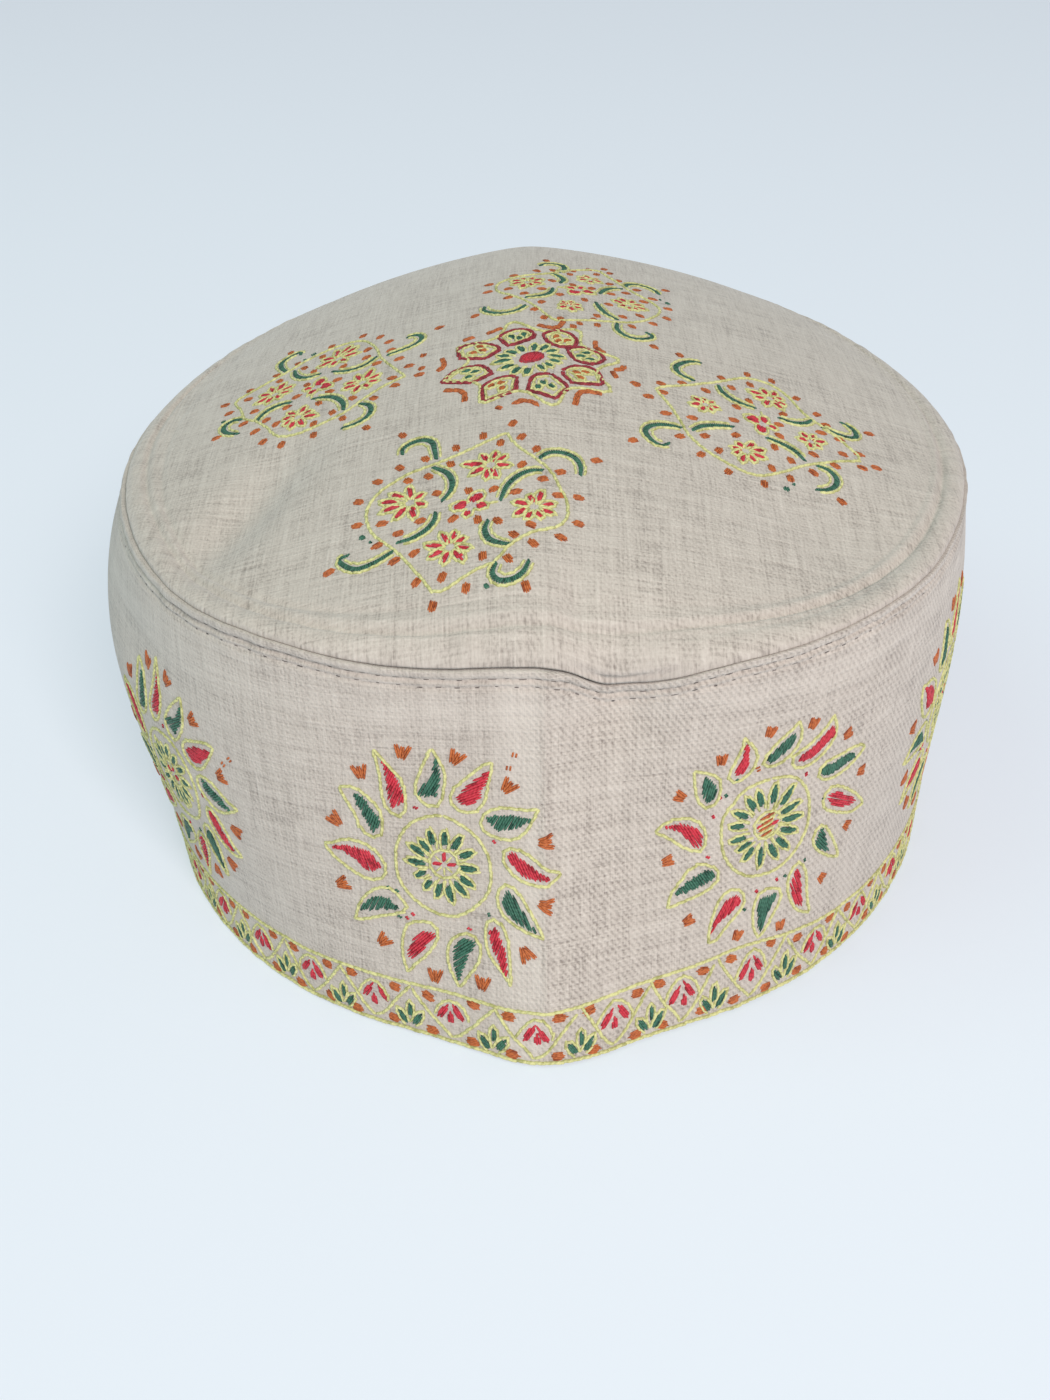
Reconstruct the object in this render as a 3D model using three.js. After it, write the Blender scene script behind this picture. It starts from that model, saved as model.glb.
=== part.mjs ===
// A Kashmiri cap: a soft wool cap of two cloth pieces, a domed oval crown and a side band.
// Millimetres, +Z up, the front crease looks along -Y, and the cap stands on its rim at Z = 0.
// The origin is on the resting plane, under the middle of the cap. Turns are angles round the
// cap, 0 at the front crease and growing towards +X. A rise is 0 at the rim and 1 at the seam.
import * as THREE from 'three';

// The rim, the band's lower edge: an oval with a soft point where the front and back are creased.
// Square, egg and wave are how far its outline leaves a true oval, as shares of its size.
const rimOval = {
  halfWidth: 84.9, halfLength: 93.4, point: 0.0575, pointTurn: 10, square: 0.004, egg: 0, wave: 0,
  aside: 0, back: 0,
};
// The seam, where the crown is sewn to the band: wider than the rim and set back from it.
const seamOval = {
  halfWidth: 88.2, halfLength: 93.7, point: 0, pointTurn: 10, square: 0.0224, egg: -0.0082, wave: -0.0083,
  aside: 1.4, back: 11.2,
};
// The height of the seam: a little higher at the back and lower along the front, with a kink
// beside the front crease where the two cloths were sewn out of step.
const seamLine = {
  side: 76.8, lean: -1.4, back: 79, backTurn: 50, frontDrop: 2.2, frontTurn: 54, frontMiddle: 3.5,
  kinkDrop: 4.2, kinkMiddle: 8, kinkTurnLeft: 4.2, kinkTurnRight: 9.5,
};
// How far the band swells out between the rim and the seam, and where up its height.
const bulge = { left: 8.7, right: 3.35, creases: -3, highUp: 1.49 };
// The crease that is pressed into the band at the front and the back.
const crease = { reach: 0.9, turn: 1.6 };

// The crown: a low dome with a soft ridge from front to back, rolled down to the seam.
const dome = {
  top: 100.3, ridgeFall: 0.1655, ridgeSoft: 4.5, ridgeAside: -1.7,
  fallX: 0.00127, fallY: 0.00159, peakY: 29.1,
};
const edgeRoll = { side: 6, front: 17, back: 10.6, frontTurn: 52, backTurn: 45 };

// Soft dents in the crown, each a long hollow in plan. A heading of 0 runs along Y.
const crownDents = [
  { name: 'valley on the left', x: -48, y: -40, long: 15, wide: 5.5, heading: -38, depth: 1.5 },
  { name: 'hollow by the left seam', x: -54, y: -24, long: 15, wide: 9, heading: -8, depth: 0.9 },
  { name: 'fold behind the kink', x: 7, y: -72, long: 7, wide: 2.8, heading: 0, depth: 1.3 },
  { name: 'hollow on the right', x: 50, y: -42, long: 17, wide: 12, heading: 40, depth: 0.9 },
];
// Soft dents in the band, placed by turn and height.
const bandDents = [
  { name: 'dimple under the kink', turn: 6.5, height: 68, long: 4, wide: 4, depth: 1.5 },
  { name: 'fold at the upper left', turn: -60, height: 60, long: 8, wide: 13, depth: 1.4 },
  { name: 'hollow above the rim, left', turn: -45, height: 16, long: 14, wide: 16, depth: 0.7 },
  { name: 'hollow above the rim, right', turn: 52, height: 20, long: 14, wide: 16, depth: 0.7 },
];

// Cloth.
const bandCloth = 1.8;
const crownCloth = 1.6;
const hemCloth = 0.9;
const hemHeight = 10;
const seamGap = 0.3;
const turnedEdge = 1.2;
const allowance = 7;
const allowanceCloth = 1.4;

// Where the rim's own middle stands, so that the origin is under the middle of the whole cap.
const stand = { aside: 1.7, back: -2.2 };

// How many sections a cap has round it, and how much closer together they are at the creases.
const columns = 88;
const creaseCrowding = 0.24;

const clothColour = new THREE.Color(0.6, 0.54, 0.48);
const crownWool = new THREE.MeshStandardMaterial({ color: clothColour, roughness: 0.95, metalness: 0 });
const bandWool = new THREE.MeshStandardMaterial({ color: clothColour, roughness: 0.95, metalness: 0 });

const degrees = (turn) => THREE.MathUtils.radToDeg(Math.atan2(Math.sin(turn), Math.cos(turn)));
const fromBack = (turn) => 180 - Math.abs(degrees(turn));
const bell = (distance, spread, power = 2) => Math.exp(-(Math.abs(distance / spread) ** power));

// A point of an oval in plan.
function ovalPoint(oval, turn) {
  const points = bell(degrees(turn), oval.pointTurn) + bell(fromBack(turn), oval.pointTurn);
  const reach = 1 + oval.point * points - oval.square * Math.cos(4 * turn)
    + oval.egg * Math.cos(3 * turn) + oval.wave * Math.cos(6 * turn);
  return new THREE.Vector2(
    oval.aside + oval.halfWidth * Math.sin(turn) * reach,
    oval.back - oval.halfLength * Math.cos(turn) * reach,
  );
}

function seamHeight(turn) {
  const angle = degrees(turn);
  const level = seamLine.side + seamLine.lean * Math.sin(turn)
    + (seamLine.back - seamLine.side) * bell(fromBack(turn), seamLine.backTurn);
  const kinkTurn = angle < seamLine.kinkMiddle ? seamLine.kinkTurnLeft : seamLine.kinkTurnRight;
  return level - seamLine.frontDrop * bell(angle - seamLine.frontMiddle, seamLine.frontTurn, 8)
    - seamLine.kinkDrop * bell(angle - seamLine.kinkMiddle, kinkTurn);
}

// A long hollow of the given depth, at the distances across and along it.
const hollow = (dent, across, along) => dent.depth * bell(across, dent.wide) * bell(along, dent.long);

// The band's outer face in plan at a turn and a rise.
function bandPlan(turn, rise) {
  const plan = ovalPoint(rimOval, turn).lerp(ovalPoint(seamOval, turn), rise);
  const sideways = Math.sin(turn) ** 2;
  const side = turn < 0 || turn > Math.PI ? bulge.left : bulge.right;
  const swellHere = bulge.creases + (side - bulge.creases) * sideways;
  const swell = swellHere * Math.sin(Math.PI * rise ** bulge.highUp);
  const frontCrease = Math.exp(-Math.abs(degrees(turn)) / crease.turn);
  const backCrease = Math.exp(-fromBack(turn) / crease.turn);
  const height = seamHeight(turn) * rise;
  let dents = 0;
  for (const dent of bandDents) {
    dents += hollow(dent, degrees(turn) - dent.turn, height - dent.height);
  }
  const pressed = crease.reach * (frontCrease + backCrease) * Math.sin(Math.PI * rise) ** 0.5;
  return plan.setLength(plan.length() + swell + pressed - dents);
}

// A point of the band, moved into the cloth by an inset square to its face in plan.
function bandPoint(turn, rise, inset = 0) {
  const step = 0.01;
  const plan = bandPlan(turn, rise);
  const along = bandPlan(turn + step, rise).sub(bandPlan(turn - step, rise)).normalize();
  return new THREE.Vector3(plan.x - along.y * inset, plan.y + along.x * inset, seamHeight(turn) * rise);
}

// The height of the dome at a place in plan, before its edge rolls down to the seam.
function crownHeight(x, y) {
  const aside = x - dome.ridgeAside;
  const ridge = Math.hypot(aside, dome.ridgeSoft) - dome.ridgeSoft;
  return dome.top - dome.ridgeFall * ridge - dome.fallX * aside ** 2 - dome.fallY * (y - dome.peakY) ** 2;
}

// The crown's upper face at a turn, and at a reach of 0 in its middle and 1 at the seam.
function crownPoint(turn, reach) {
  const middle = new THREE.Vector2(seamOval.aside, seamOval.back);
  const seam = ovalPoint(seamOval, turn);
  const plan = seam.clone().sub(middle).multiplyScalar(reach).add(middle);
  const front = bell(degrees(turn), edgeRoll.frontTurn, 6);
  const back = bell(fromBack(turn), edgeRoll.backTurn, 4);
  const roll = edgeRoll.side + (edgeRoll.front - edgeRoll.side) * front
    + (edgeRoll.back - edgeRoll.side) * back;
  const drop = (seamHeight(turn) - crownHeight(seam.x, seam.y)) * reach ** roll;
  let dents = 0;
  for (const dent of crownDents) {
    const heading = THREE.MathUtils.degToRad(dent.heading);
    const x = plan.x - dent.x;
    const y = plan.y - dent.y;
    const across = x * Math.cos(heading) + y * Math.sin(heading);
    const along = y * Math.cos(heading) - x * Math.sin(heading);
    dents += hollow(dent, across, along);
  }
  const inside = 1 - reach ** 12;
  return new THREE.Vector3(plan.x, plan.y, crownHeight(plan.x, plan.y) + drop - dents * inside);
}

// The crown's upper face at a distance in from the seam.
function crownInset(turn, inset) {
  const middle = new THREE.Vector2(seamOval.aside, seamOval.back);
  return crownPoint(turn, 1 - inset / ovalPoint(seamOval, turn).distanceTo(middle));
}

// The crown's lower face: the cloth's thickness below the upper one, more where that is steep.
function crownUnder(turn, inset) {
  const step = 0.5;
  const upper = crownInset(turn, inset);
  const slope = (crownInset(turn, inset + step).z - upper.z) / step;
  return upper.setZ(upper.z - crownCloth * Math.min(Math.hypot(1, slope), 2));
}

// A point at the seam, where the crown lies over the band's top edge: in from the band's face by an
// inset, and below the crown's upper face.
function seamEdge(turn, inset, below) {
  return bandPoint(turn, 1, inset).setZ(crownInset(turn, inset).z - below);
}

// How far up the band the crown's turned-down allowance ends.
const allowanceRise = (turn) => 1 - allowance / seamHeight(turn);

// The band's section at a turn: up its outer face, over the top edge, down the inner face to the
// hem, and across the flat rim.
function bandSection(turn) {
  const outerRises = [0, 0.1, 0.24, 0.38, 0.52, 0.66, 0.78, 0.88, 0.95];
  const innerRises = [allowanceRise(turn), 0.77, 0.6, 0.44, 0.28];
  const hem = hemHeight / seamHeight(turn);
  const section = outerRises.map((rise) => bandPoint(turn, rise));
  section.push(seamEdge(turn, 0, turnedEdge + seamGap), seamEdge(turn, bandCloth, turnedEdge + seamGap));
  section.push(...innerRises.map((rise) => bandPoint(turn, rise, bandCloth)));
  section.push(bandPoint(turn, hem, bandCloth), bandPoint(turn, hem, bandCloth + hemCloth));
  section.push(bandPoint(turn, 0, bandCloth + hemCloth));
  return section;
}

// The crown's section at a turn: out under the dome, round the turned-down allowance, out over the
// band's top edge to the seam, and back over the dome.
function crownSection(turn) {
  const underInsets = [62, 48, 34, 22, 12, 6];
  const reaches = [1, 0.985, 0.96, 0.92, 0.86, 0.78, 0.67, 0.55, 0.42, 0.28, 0.14];
  const ledge = bandCloth + seamGap;
  const lower = allowanceRise(turn);
  const section = underInsets.map((inset) => crownUnder(turn, inset));
  section.push(crownUnder(turn, ledge + allowanceCloth));
  section.push(bandPoint(turn, lower, ledge + allowanceCloth), bandPoint(turn, lower, ledge));
  section.push(seamEdge(turn, ledge, turnedEdge), seamEdge(turn, 0, turnedEdge));
  section.push(...reaches.map((reach) => crownPoint(turn, reach)));
  return section;
}

// The turns of the columns, closer together at the two creases.
function columnTurns() {
  const turns = [];
  for (let i = 0; i < columns; i += 1) {
    const even = (2 * Math.PI * i) / columns;
    turns.push(even - creaseCrowding * Math.sin(2 * even));
  }
  return turns;
}

// A closed mesh from one section a turn. Sections that start and end in the cap's middle are
// closed there by a first and a last point.
function meshRound(name, sectionAt, material, poles = []) {
  const sections = columnTurns().map(sectionAt);
  const rows = sections[0].length;
  const corners = sections.flat();
  const faces = [];
  const corner = (column, row) => (column % columns) * rows + (row % rows);
  const lastRow = poles.length ? rows - 1 : rows;
  for (let column = 0; column < columns; column += 1) {
    for (let row = 0; row < lastRow; row += 1) {
      const a = corner(column, row);
      const b = corner(column + 1, row);
      const c = corner(column + 1, row + 1);
      const d = corner(column, row + 1);
      faces.push(a, b, c, a, c, d);
    }
  }
  poles.forEach((pole, end) => {
    const tip = corners.push(pole) - 1;
    const row = end === 0 ? 0 : rows - 1;
    for (let column = 0; column < columns; column += 1) {
      const here = corner(column, row);
      const next = corner(column + 1, row);
      faces.push(...(end === 0 ? [tip, next, here] : [tip, here, next]));
    }
  });
  const geometry = new THREE.BufferGeometry().setFromPoints(corners);
  geometry.setIndex(faces);
  geometry.computeVertexNormals();
  const mesh = new THREE.Mesh(geometry, material);
  mesh.name = name;
  return mesh;
}

const crownTop = crownPoint(0, 0);
const crownCeiling = crownTop.clone().setZ(crownTop.z - crownCloth);

const cap = new THREE.Group();
cap.position.set(stand.aside, stand.back, 0);
cap.add(meshRound('crown', crownSection, crownWool, [crownCeiling, crownTop]));
cap.add(meshRound('side_band', bandSection, bandWool));

export default cap;
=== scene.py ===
from math import cos, pi, radians, sin

import bpy
import numpy as np
from mathutils import Matrix, Vector


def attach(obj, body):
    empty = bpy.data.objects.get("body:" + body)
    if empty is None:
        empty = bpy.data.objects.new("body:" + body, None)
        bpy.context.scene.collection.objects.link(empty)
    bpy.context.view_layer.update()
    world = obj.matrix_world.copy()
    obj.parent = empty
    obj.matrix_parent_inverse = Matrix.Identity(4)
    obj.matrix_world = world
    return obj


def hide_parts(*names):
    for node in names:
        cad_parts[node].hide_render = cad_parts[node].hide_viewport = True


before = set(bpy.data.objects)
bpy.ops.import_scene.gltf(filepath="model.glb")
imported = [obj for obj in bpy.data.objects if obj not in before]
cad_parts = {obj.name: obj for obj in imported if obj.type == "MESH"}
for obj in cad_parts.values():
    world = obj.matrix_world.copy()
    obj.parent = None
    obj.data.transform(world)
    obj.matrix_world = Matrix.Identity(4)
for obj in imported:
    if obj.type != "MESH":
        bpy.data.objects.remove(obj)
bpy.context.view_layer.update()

# The camera stands where the photograph was taken from, before the front crease and above the
# cap, and is tipped a little to one side. Its lens has the photograph's own angle of view.
CAMERA_PLACE, LENS = (0.0065, -0.28962, 0.20883), 38.379
HEADING, LOOKING_DOWN, TIPPED = 1.853, 34.005, -2.43
view = bpy.data.cameras.new("photo_view")
view.sensor_fit, view.sensor_height, view.lens, view.clip_start = "VERTICAL", 36, LENS, 0.01
camera = bpy.data.objects.new("photo_view", view)
bpy.context.scene.collection.objects.link(camera)
camera.matrix_world = (
    Matrix.Translation(CAMERA_PLACE)
    @ Matrix.Rotation(radians(HEADING), 4, "Z")
    @ Matrix.Rotation(radians(90 - LOOKING_DOWN), 4, "X")
    @ Matrix.Rotation(radians(TIPPED), 4, "Z")
)
bpy.context.scene.camera = camera

# The side band: one strip of fine greige wool that stands round the head, in a soft diagonal
# twill. It is creased at the front and the back, its foot is turned up inside as a hem, and its
# top edge is sewn to the crown. Lengths here are in millimetres, and turns are in radians.
RIM = {"wide": 84.9, "long": 93.4, "point": 0.0575, "square": 0.004, "egg": 0, "wave": 0, "at": (0, 0)}
SEAM = {"wide": 88.2, "long": 93.7, "point": 0, "square": 0.0224, "egg": -0.0082, "wave": -0.0083,
        "at": (1.4, 11.2)}
STAND = np.array([1.7, -2.2, 0])
BULGE = {"left": 8.7, "right": 3.35, "creases": -3, "high up": 1.49}
CREASE_REACH, CREASE_TURN = 0.9, 1.6
SEAM_LEVEL, SEAM_LEAN, BACK_RISE, FRONT_FALL = 76.8, 1.4, 2.2, 2.2
KINK_DEPTH, KINK_TURN, KINK_LEFT, KINK_RIGHT = 4.2, 8, 4.2, 9.5
# Where the sewing draws the seam up: its turn in degrees, how far to either side, and how high.
DRAWN_UP = [(-34, 13, 2.1), (41, 12, 1.5), (-3, 8, 0.8)]
# Dents: turn, height above the rim, how tall, how wide in degrees, and how deep.
BAND_DENTS = [(9, 66.5, 8, 5, 2.6), (-60, 60, 8, 13, 1.4), (-45, 16, 14, 16, 0.7), (52, 20, 14, 16, 0.7)]
BAND_CLOTH, TOPSTITCH, LOWER_STITCH = 1.8, 3.2, 4.7
# Welts and grooves: how far below the seam, how wide, how square, and how far out.
WELTS = [(1.8, 1.3, 4, 0.46), (TOPSTITCH, 0.5, 2, -0.56), (4, 0.45, 2, 0.2), (LOWER_STITCH, 0.45, 2, -0.34)]


def bell(distance, spread, power=2):
    return np.exp(-(np.abs(distance / spread) ** power))


def degrees_of(turn):
    return np.degrees(np.arctan2(np.sin(turn), np.cos(turn)))


def from_back(turn):
    return 180 - np.abs(degrees_of(turn))


def oval(edge, turn):
    """Places in plan on the rim or the seam."""
    points = bell(degrees_of(turn), 10) + bell(from_back(turn), 10)
    reach = 1 + edge["point"] * points - edge["square"] * np.cos(4 * turn)
    reach = reach + edge["egg"] * np.cos(3 * turn) + edge["wave"] * np.cos(6 * turn)
    aside, back = edge["at"]
    return np.stack([aside + edge["wide"] * np.sin(turn) * reach,
                     back - edge["long"] * np.cos(turn) * reach], -1)


def seam_height(turn):
    angle = degrees_of(turn)
    level = SEAM_LEVEL - SEAM_LEAN * np.sin(turn) + BACK_RISE * bell(from_back(turn), 50)
    for place, wide, high in DRAWN_UP:
        level = level + high * bell(angle - place, wide)
    kink = bell(angle - KINK_TURN, np.where(angle < KINK_TURN, KINK_LEFT, KINK_RIGHT))
    return level - FRONT_FALL * bell(angle - 3.5, 54, 8) - KINK_DEPTH * kink


def puckers(turn, depth):
    """Small gathers that the sewing draws into the cloth."""
    return depth * (np.sin(47 * turn + 3 * np.sin(9 * turn)) + 0.7 * np.sin(83 * turn + 4 * np.sin(5 * turn)))


def band_plan(turn, rise):
    """The band's outer face in plan, at a rise of 0 at the rim and 1 at the seam."""
    plan = oval(RIM, turn) * (1 - rise)[..., None] + oval(SEAM, turn) * rise[..., None]
    side = np.where(np.sin(turn) < 0, BULGE["left"], BULGE["right"]) - BULGE["creases"]
    inside = np.clip(rise, 0, 1)
    swell = (BULGE["creases"] + side * np.sin(turn) ** 2) * np.sin(pi * inside ** BULGE["high up"])
    creases = np.exp(-np.abs(degrees_of(turn)) / CREASE_TURN) + np.exp(-from_back(turn) / CREASE_TURN)
    swell = swell + CREASE_REACH * creases * np.sin(pi * inside) ** 0.5
    height = seam_height(turn) * rise
    for dent_turn, dent_height, tall, wide, depth in BAND_DENTS:
        swell = swell - depth * bell(degrees_of(turn) - dent_turn, wide) * bell(height - dent_height, tall)
    below = seam_height(turn) * (1 - rise)
    for place, wide, square, out in WELTS:
        swell = swell + out * bell(below - place, wide, square)
    swell = swell + puckers(turn, 0.09) * bell(below - TOPSTITCH, 3.4)
    swell = swell + puckers(turn * 1.3 + 1, 0.05) * bell(height, 9)
    length = np.linalg.norm(plan, axis=-1)
    return plan * ((length + swell) / length)[..., None]


def band_point(turn, rise, inset=0.0):
    """Places on the band, moved in from its face by an inset square to it in plan."""
    turn, rise, inset = np.broadcast_arrays(*(np.asarray(x, float) for x in (turn, rise, inset)))
    step = 0.01
    along = band_plan(turn + step, rise) - band_plan(turn - step, rise)
    along = along / np.linalg.norm(along, axis=-1, keepdims=True)
    plan = band_plan(turn, rise) + np.stack([-along[..., 1], along[..., 0]], -1) * inset[..., None]
    return np.concatenate([plan, (seam_height(turn) * rise)[..., None]], -1) + STAND


def round_turns(count):
    """Turns round the cap from back to back, a little closer together at the two creases."""
    crowding, even = 0.24, np.linspace(-pi, pi, count + 1)
    return even - crowding * np.sin(2 * even)


# The band's length is measured from the front crease along its face, a little below half its height.
COLUMNS, ARC_TURNS = round_turns(480), round_turns(2000)
ARC = np.cumsum(np.linalg.norm(np.diff(band_point(ARC_TURNS, 0.45), axis=0), axis=-1))
ARC = np.concatenate([[0], ARC])
ARC = ARC - np.interp(0, ARC_TURNS, ARC)
GIRTH = ARC[-1] - ARC[0]


def on_band(along, height):
    """Places on the band's face by the distance round it from the front crease and by the height."""
    turn = np.interp((along - ARC[0]) % GIRTH + ARC[0], ARC, ARC_TURNS)
    return band_point(turn, height / seam_height(turn))


def piece_of(name, points, faces, map_name, places, material):
    """A mesh piece from points in millimetres, with the places of its face corners on a flat map."""
    mesh = bpy.data.meshes.new(name)
    mesh.from_pydata((points * 0.001).tolist(), [], faces)
    mesh.uv_layers.new(name=map_name).uv.foreach_set("vector", np.asarray(places, np.float32).ravel())
    mesh.shade_smooth()
    mesh.materials.append(material)
    piece = bpy.data.objects.new(name, mesh)
    bpy.context.scene.collection.objects.link(piece)
    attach(piece, "root")
    return piece


def cloth_round(name, rows, flat, material, poles=()):
    """A cloth piece from rows of points round the cap. Flat holds each row's places on the map."""
    count = rows[0].shape[0] - 1
    points = np.concatenate([row[:count] for row in rows])
    closed = not len(poles)
    across = np.arange(count)
    after = (across + 1) % count
    faces, places = [], []
    for low in range(len(rows) if closed else len(rows) - 1):
        high = (low + 1) % len(rows)
        faces += np.stack([low * count + across, low * count + after,
                           high * count + after, high * count + across], -1).tolist()
        corners = [flat[low][:-1], flat[low][1:], flat[high][1:], flat[high][:-1]]
        places += np.stack(corners, 1).reshape(-1, 2).tolist()
    for (pole, pole_flat), row in zip(poles, (0, len(rows) - 1)):
        points = np.concatenate([points, [pole]])
        for here in range(count):
            corners = [(row * count + here, flat[row][here]),
                       (row * count + after[here], flat[row][here + 1])]
            if row == 0:
                corners.reverse()
            faces.append([len(points) - 1] + [int(corner) for corner, _ in corners])
            places += [pole_flat] + [place for _, place in corners]
    return piece_of(name, points, faces, "cloth", places, material)


class Yarn:
    """A socket of a material on which Python's own sums work: each sum adds a Math node."""

    def __init__(self, socket):
        self.socket = socket

    def of(self, kind, settings, sockets, output=0):
        """A node of that kind in the same material: its settings, then its sockets, and one output."""
        node = self.socket.id_data.nodes.new("ShaderNode" + kind)
        for name, value in settings.items():
            if name == "stops":
                for _ in range(len(value) - 2):
                    node.color_ramp.elements.new(0.5)
                for stop, (place, colour) in zip(node.color_ramp.elements, value):
                    stop.position, stop.color = place, (*colour, 1)
            else:
                setattr(node, name, value)
        for name, value in sockets.items():
            if isinstance(value, Yarn):
                self.socket.id_data.links.new(value.socket, node.inputs[name])
            else:
                node.inputs[name].default_value = value
        return Yarn(node.outputs[output])

    def sum(self, operation, *values):
        return self.of("Math", {"operation": operation}, dict(enumerate(values)))

    def __add__(self, other):
        return self.sum("ADD", self, other)

    def __sub__(self, other):
        return self.sum("SUBTRACT", self, other)

    def __rsub__(self, other):
        return self.sum("SUBTRACT", other, self)

    def __mul__(self, other):
        return self.sum("MULTIPLY", self, other)

    __radd__, __rmul__ = __add__, __mul__

    def second(self):
        """The second output of the same node."""
        return Yarn(self.socket.node.outputs[1])

    def waves(self):
        """Even waves between 0 and 1."""
        return self.sum("SINE", self) * 0.5 + 0.5

    def eased(self, start, end, low=0, high=1):
        """A soft step from low to high while this value runs from start to end."""
        sockets = {"Value": self, "From Min": start, "From Max": end, "To Min": low, "To Max": high}
        return self.of("MapRange", {"interpolation_type": "SMOOTHSTEP"}, sockets)

    def mixed(self, colour, share):
        """This colour turned towards another by a share."""
        return self.of("Mix", {"data_type": "RGBA"}, {0: share, 6: self, 7: (*colour, 1)}, 2)


def new_material(name, **constants):
    """A plain finish, its shader, and a socket from which its nodes are made."""
    material = bpy.data.materials.new(name)
    material.use_nodes = True
    finish = material.node_tree.nodes["Principled BSDF"]
    for socket, value in constants.items():
        finish.inputs[socket.replace("_", " ")].default_value = value
    return material, finish, Yarn(finish.outputs[0])


def feed(finish, **inputs):
    for name, value in inputs.items():
        finish.id_data.links.new(value.socket, finish.inputs[name.replace("_", " ")])


def wool(name, twill, crease_highlight_and_top_strip=0.0):
    """Fine greige wool with slubs both ways. Twill is how much its diagonals show, and
    crease_highlight_and_top_strip how much paler it is in a strip just left of the front crease, a painted
    highlight where that face of the crease catches the light, and in a strip 62 to 69 mm up the band."""
    pale, main, dark = (0.7, 0.64, 0.57), (0.52, 0.465, 0.41), (0.24, 0.205, 0.18)
    contrast, rib_pitch, average = 3.1, 0.95, 0.2273
    material, finish, start = new_material(name, Sheen_Weight=0.25, Sheen_Roughness=0.5,
                                           Specular_IOR_Level=0.25)
    flat = start.of("UVMap", {"uv_map": "cloth"}, {})
    along = start.of("SeparateXYZ", {}, {0: flat})
    up = along.second()

    def slubs(along_pitch, up_pitch, detail=2):
        stretched = start.of("VectorMath", {"operation": "MULTIPLY"},
                             {0: flat, 1: (1 / along_pitch, 1 / up_pitch, 0)})
        return start.of("TexNoise", {"noise_dimensions": "2D"},
                        {"Vector": stretched, "Scale": 1, "Detail": detail, "Roughness": 0.6})

    weft, warp = slubs(8, 0.44), slubs(0.44, 8)
    long_slub, tall_slub = slubs(30, 1.5), slubs(1.6, 30)
    cloud, fuzz = slubs(15, 13, 4), slubs(0.45, 0.45, 3)
    ribs = ((along * 0.8 + up * 0.62) * (2 * pi / rib_pitch) + weft * 4).waves()
    # The twill's diagonals show more on the cap's right side, where the light rakes them. In the colour this
    # is painted shade; in the bump it is relief.
    ribs_show = along.eased(-14, 6, 0.35, 1) * twill
    light = weft * 0.9 + warp * 0.9 + long_slub * 0.5 + tall_slub * 0.5 + fuzz * 1.1 + cloud * 0.5
    shade = (light * average - 0.5) * contrast + 0.5 + (ribs - 0.5) * ribs_show * 0.3
    colour = start.of("ValToRGB", {"stops": [(0.05, dark), (0.46, main), (0.95, pale)]}, {0: shade})
    colour = colour.mixed(tuple(c * 0.86 for c in main), cloud * 0.5)
    # Painted highlight: the strip just left of the front crease turns pale where that face of the crease
    # catches the light. A strip 62 to 69 mm up the band is also made paler.
    crease_strip = along.eased(-9, -6) * along.eased(-0.5, -1.4)
    top_strip = up.eased(62, 64.5) * up.eased(69, 66.5)
    colour = colour.mixed(pale, (crease_strip + top_strip * 0.6) * crease_highlight_and_top_strip)
    relief = weft * 0.5 + warp * 0.5 + fuzz * 0.5 + long_slub * 0.6 + ribs * ribs_show * 0.4
    bump = start.of("Bump", {}, {"Strength": 0.48, "Distance": 0.0004, "Height": relief})
    feed(finish, Base_Color=colour, Roughness=0.95 - fuzz * 0.2, Normal=bump)
    return material


band_rise = seam_height(COLUMNS)
arc_columns = np.interp(COLUMNS, ARC_TURNS, ARC)
band_rows, band_flat = [], []


def band_row(rise, inset):
    points = band_point(COLUMNS, rise, inset)
    band_rows.append(points)
    band_flat.append(np.stack([arc_columns, points[:, 2] + inset * 3], -1))


# Up the face from the rim, over the top edge, down the inside and round the turned-up hem.
for height, inset in ((0, 1.3), (0.1, 0.75), (0.45, 0.3), (0.95, 0.06)):
    band_row(height / band_rise, inset)
for share in np.linspace(0, 1, 70)[1:-1]:
    band_row((1.2 + share * (band_rise - 9.2)) / band_rise, 0)
for below in np.arange(8, 1.9, -0.34):
    band_row(1 - below / band_rise, 0)
# The groove of the seam is deepest before the kink, where the crown's edge rolls over.
groove = 0.1 + 0.5 * bell(degrees_of(COLUMNS) + 6, 14)
for below, inset in ((1.6, 0.02), (1.42, 0.12), (1.29, 0.42), (1.24, 0.95)):
    band_row(1 - below / band_rise, inset * groove)
band_row(1 - 1.3 / band_rise, BAND_CLOTH)
for rise in (0.95, 0.9, 0.8, 0.68, 0.56, 0.44, 0.34, 0.26, 0.2, 0.16):
    band_row(rise, BAND_CLOTH)
for height, inset in ((10.2, BAND_CLOTH), (10.2, 2.4), (9.7, 2.7), (7, 2.7), (4, 2.7), (1.2, 2.7),
                      (0.45, 2.5), (0.1, 1.95)):
    band_row(height / band_rise, inset)
side_band = cloth_round("band_cloth", band_rows, band_flat, wool("band_wool_cloth", 1, 0.3))
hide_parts("side_band")

# The crown: the cap's top, an oval of the same wool in a plain slubby weave. It is domed softly,
# with a ridge from front to back, and its edge is turned down inside the band as an allowance.
DOME = {"top": 100.3, "ridge at": -1.7, "ridge soft": 4.5, "slope": 0.1655, "round": 0.00127,
        "long round": 0.00159, "highest": 29.1}
ROLL, CROWN_CLOTH = {"sides": 6, "front": 11, "back": 4.6}, 1.6
# Dents: place, how long, how wide, heading in degrees, and how deep.
CROWN_DENTS = [(-57, -37, 21, 6.5, -30, 3.2), (-54, -24, 15, 9, -8, 0.9), (7, -72, 7, 2.8, 0, 1.3),
               (50, -42, 17, 12, 40, 0.9)]


def dome_height(x, y):
    aside = x - DOME["ridge at"]
    ridge = np.hypot(aside, DOME["ridge soft"]) - DOME["ridge soft"]
    fall = DOME["slope"] * ridge + DOME["round"] * aside**2
    return DOME["top"] - fall - DOME["long round"] * (y - DOME["highest"]) ** 2


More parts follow.
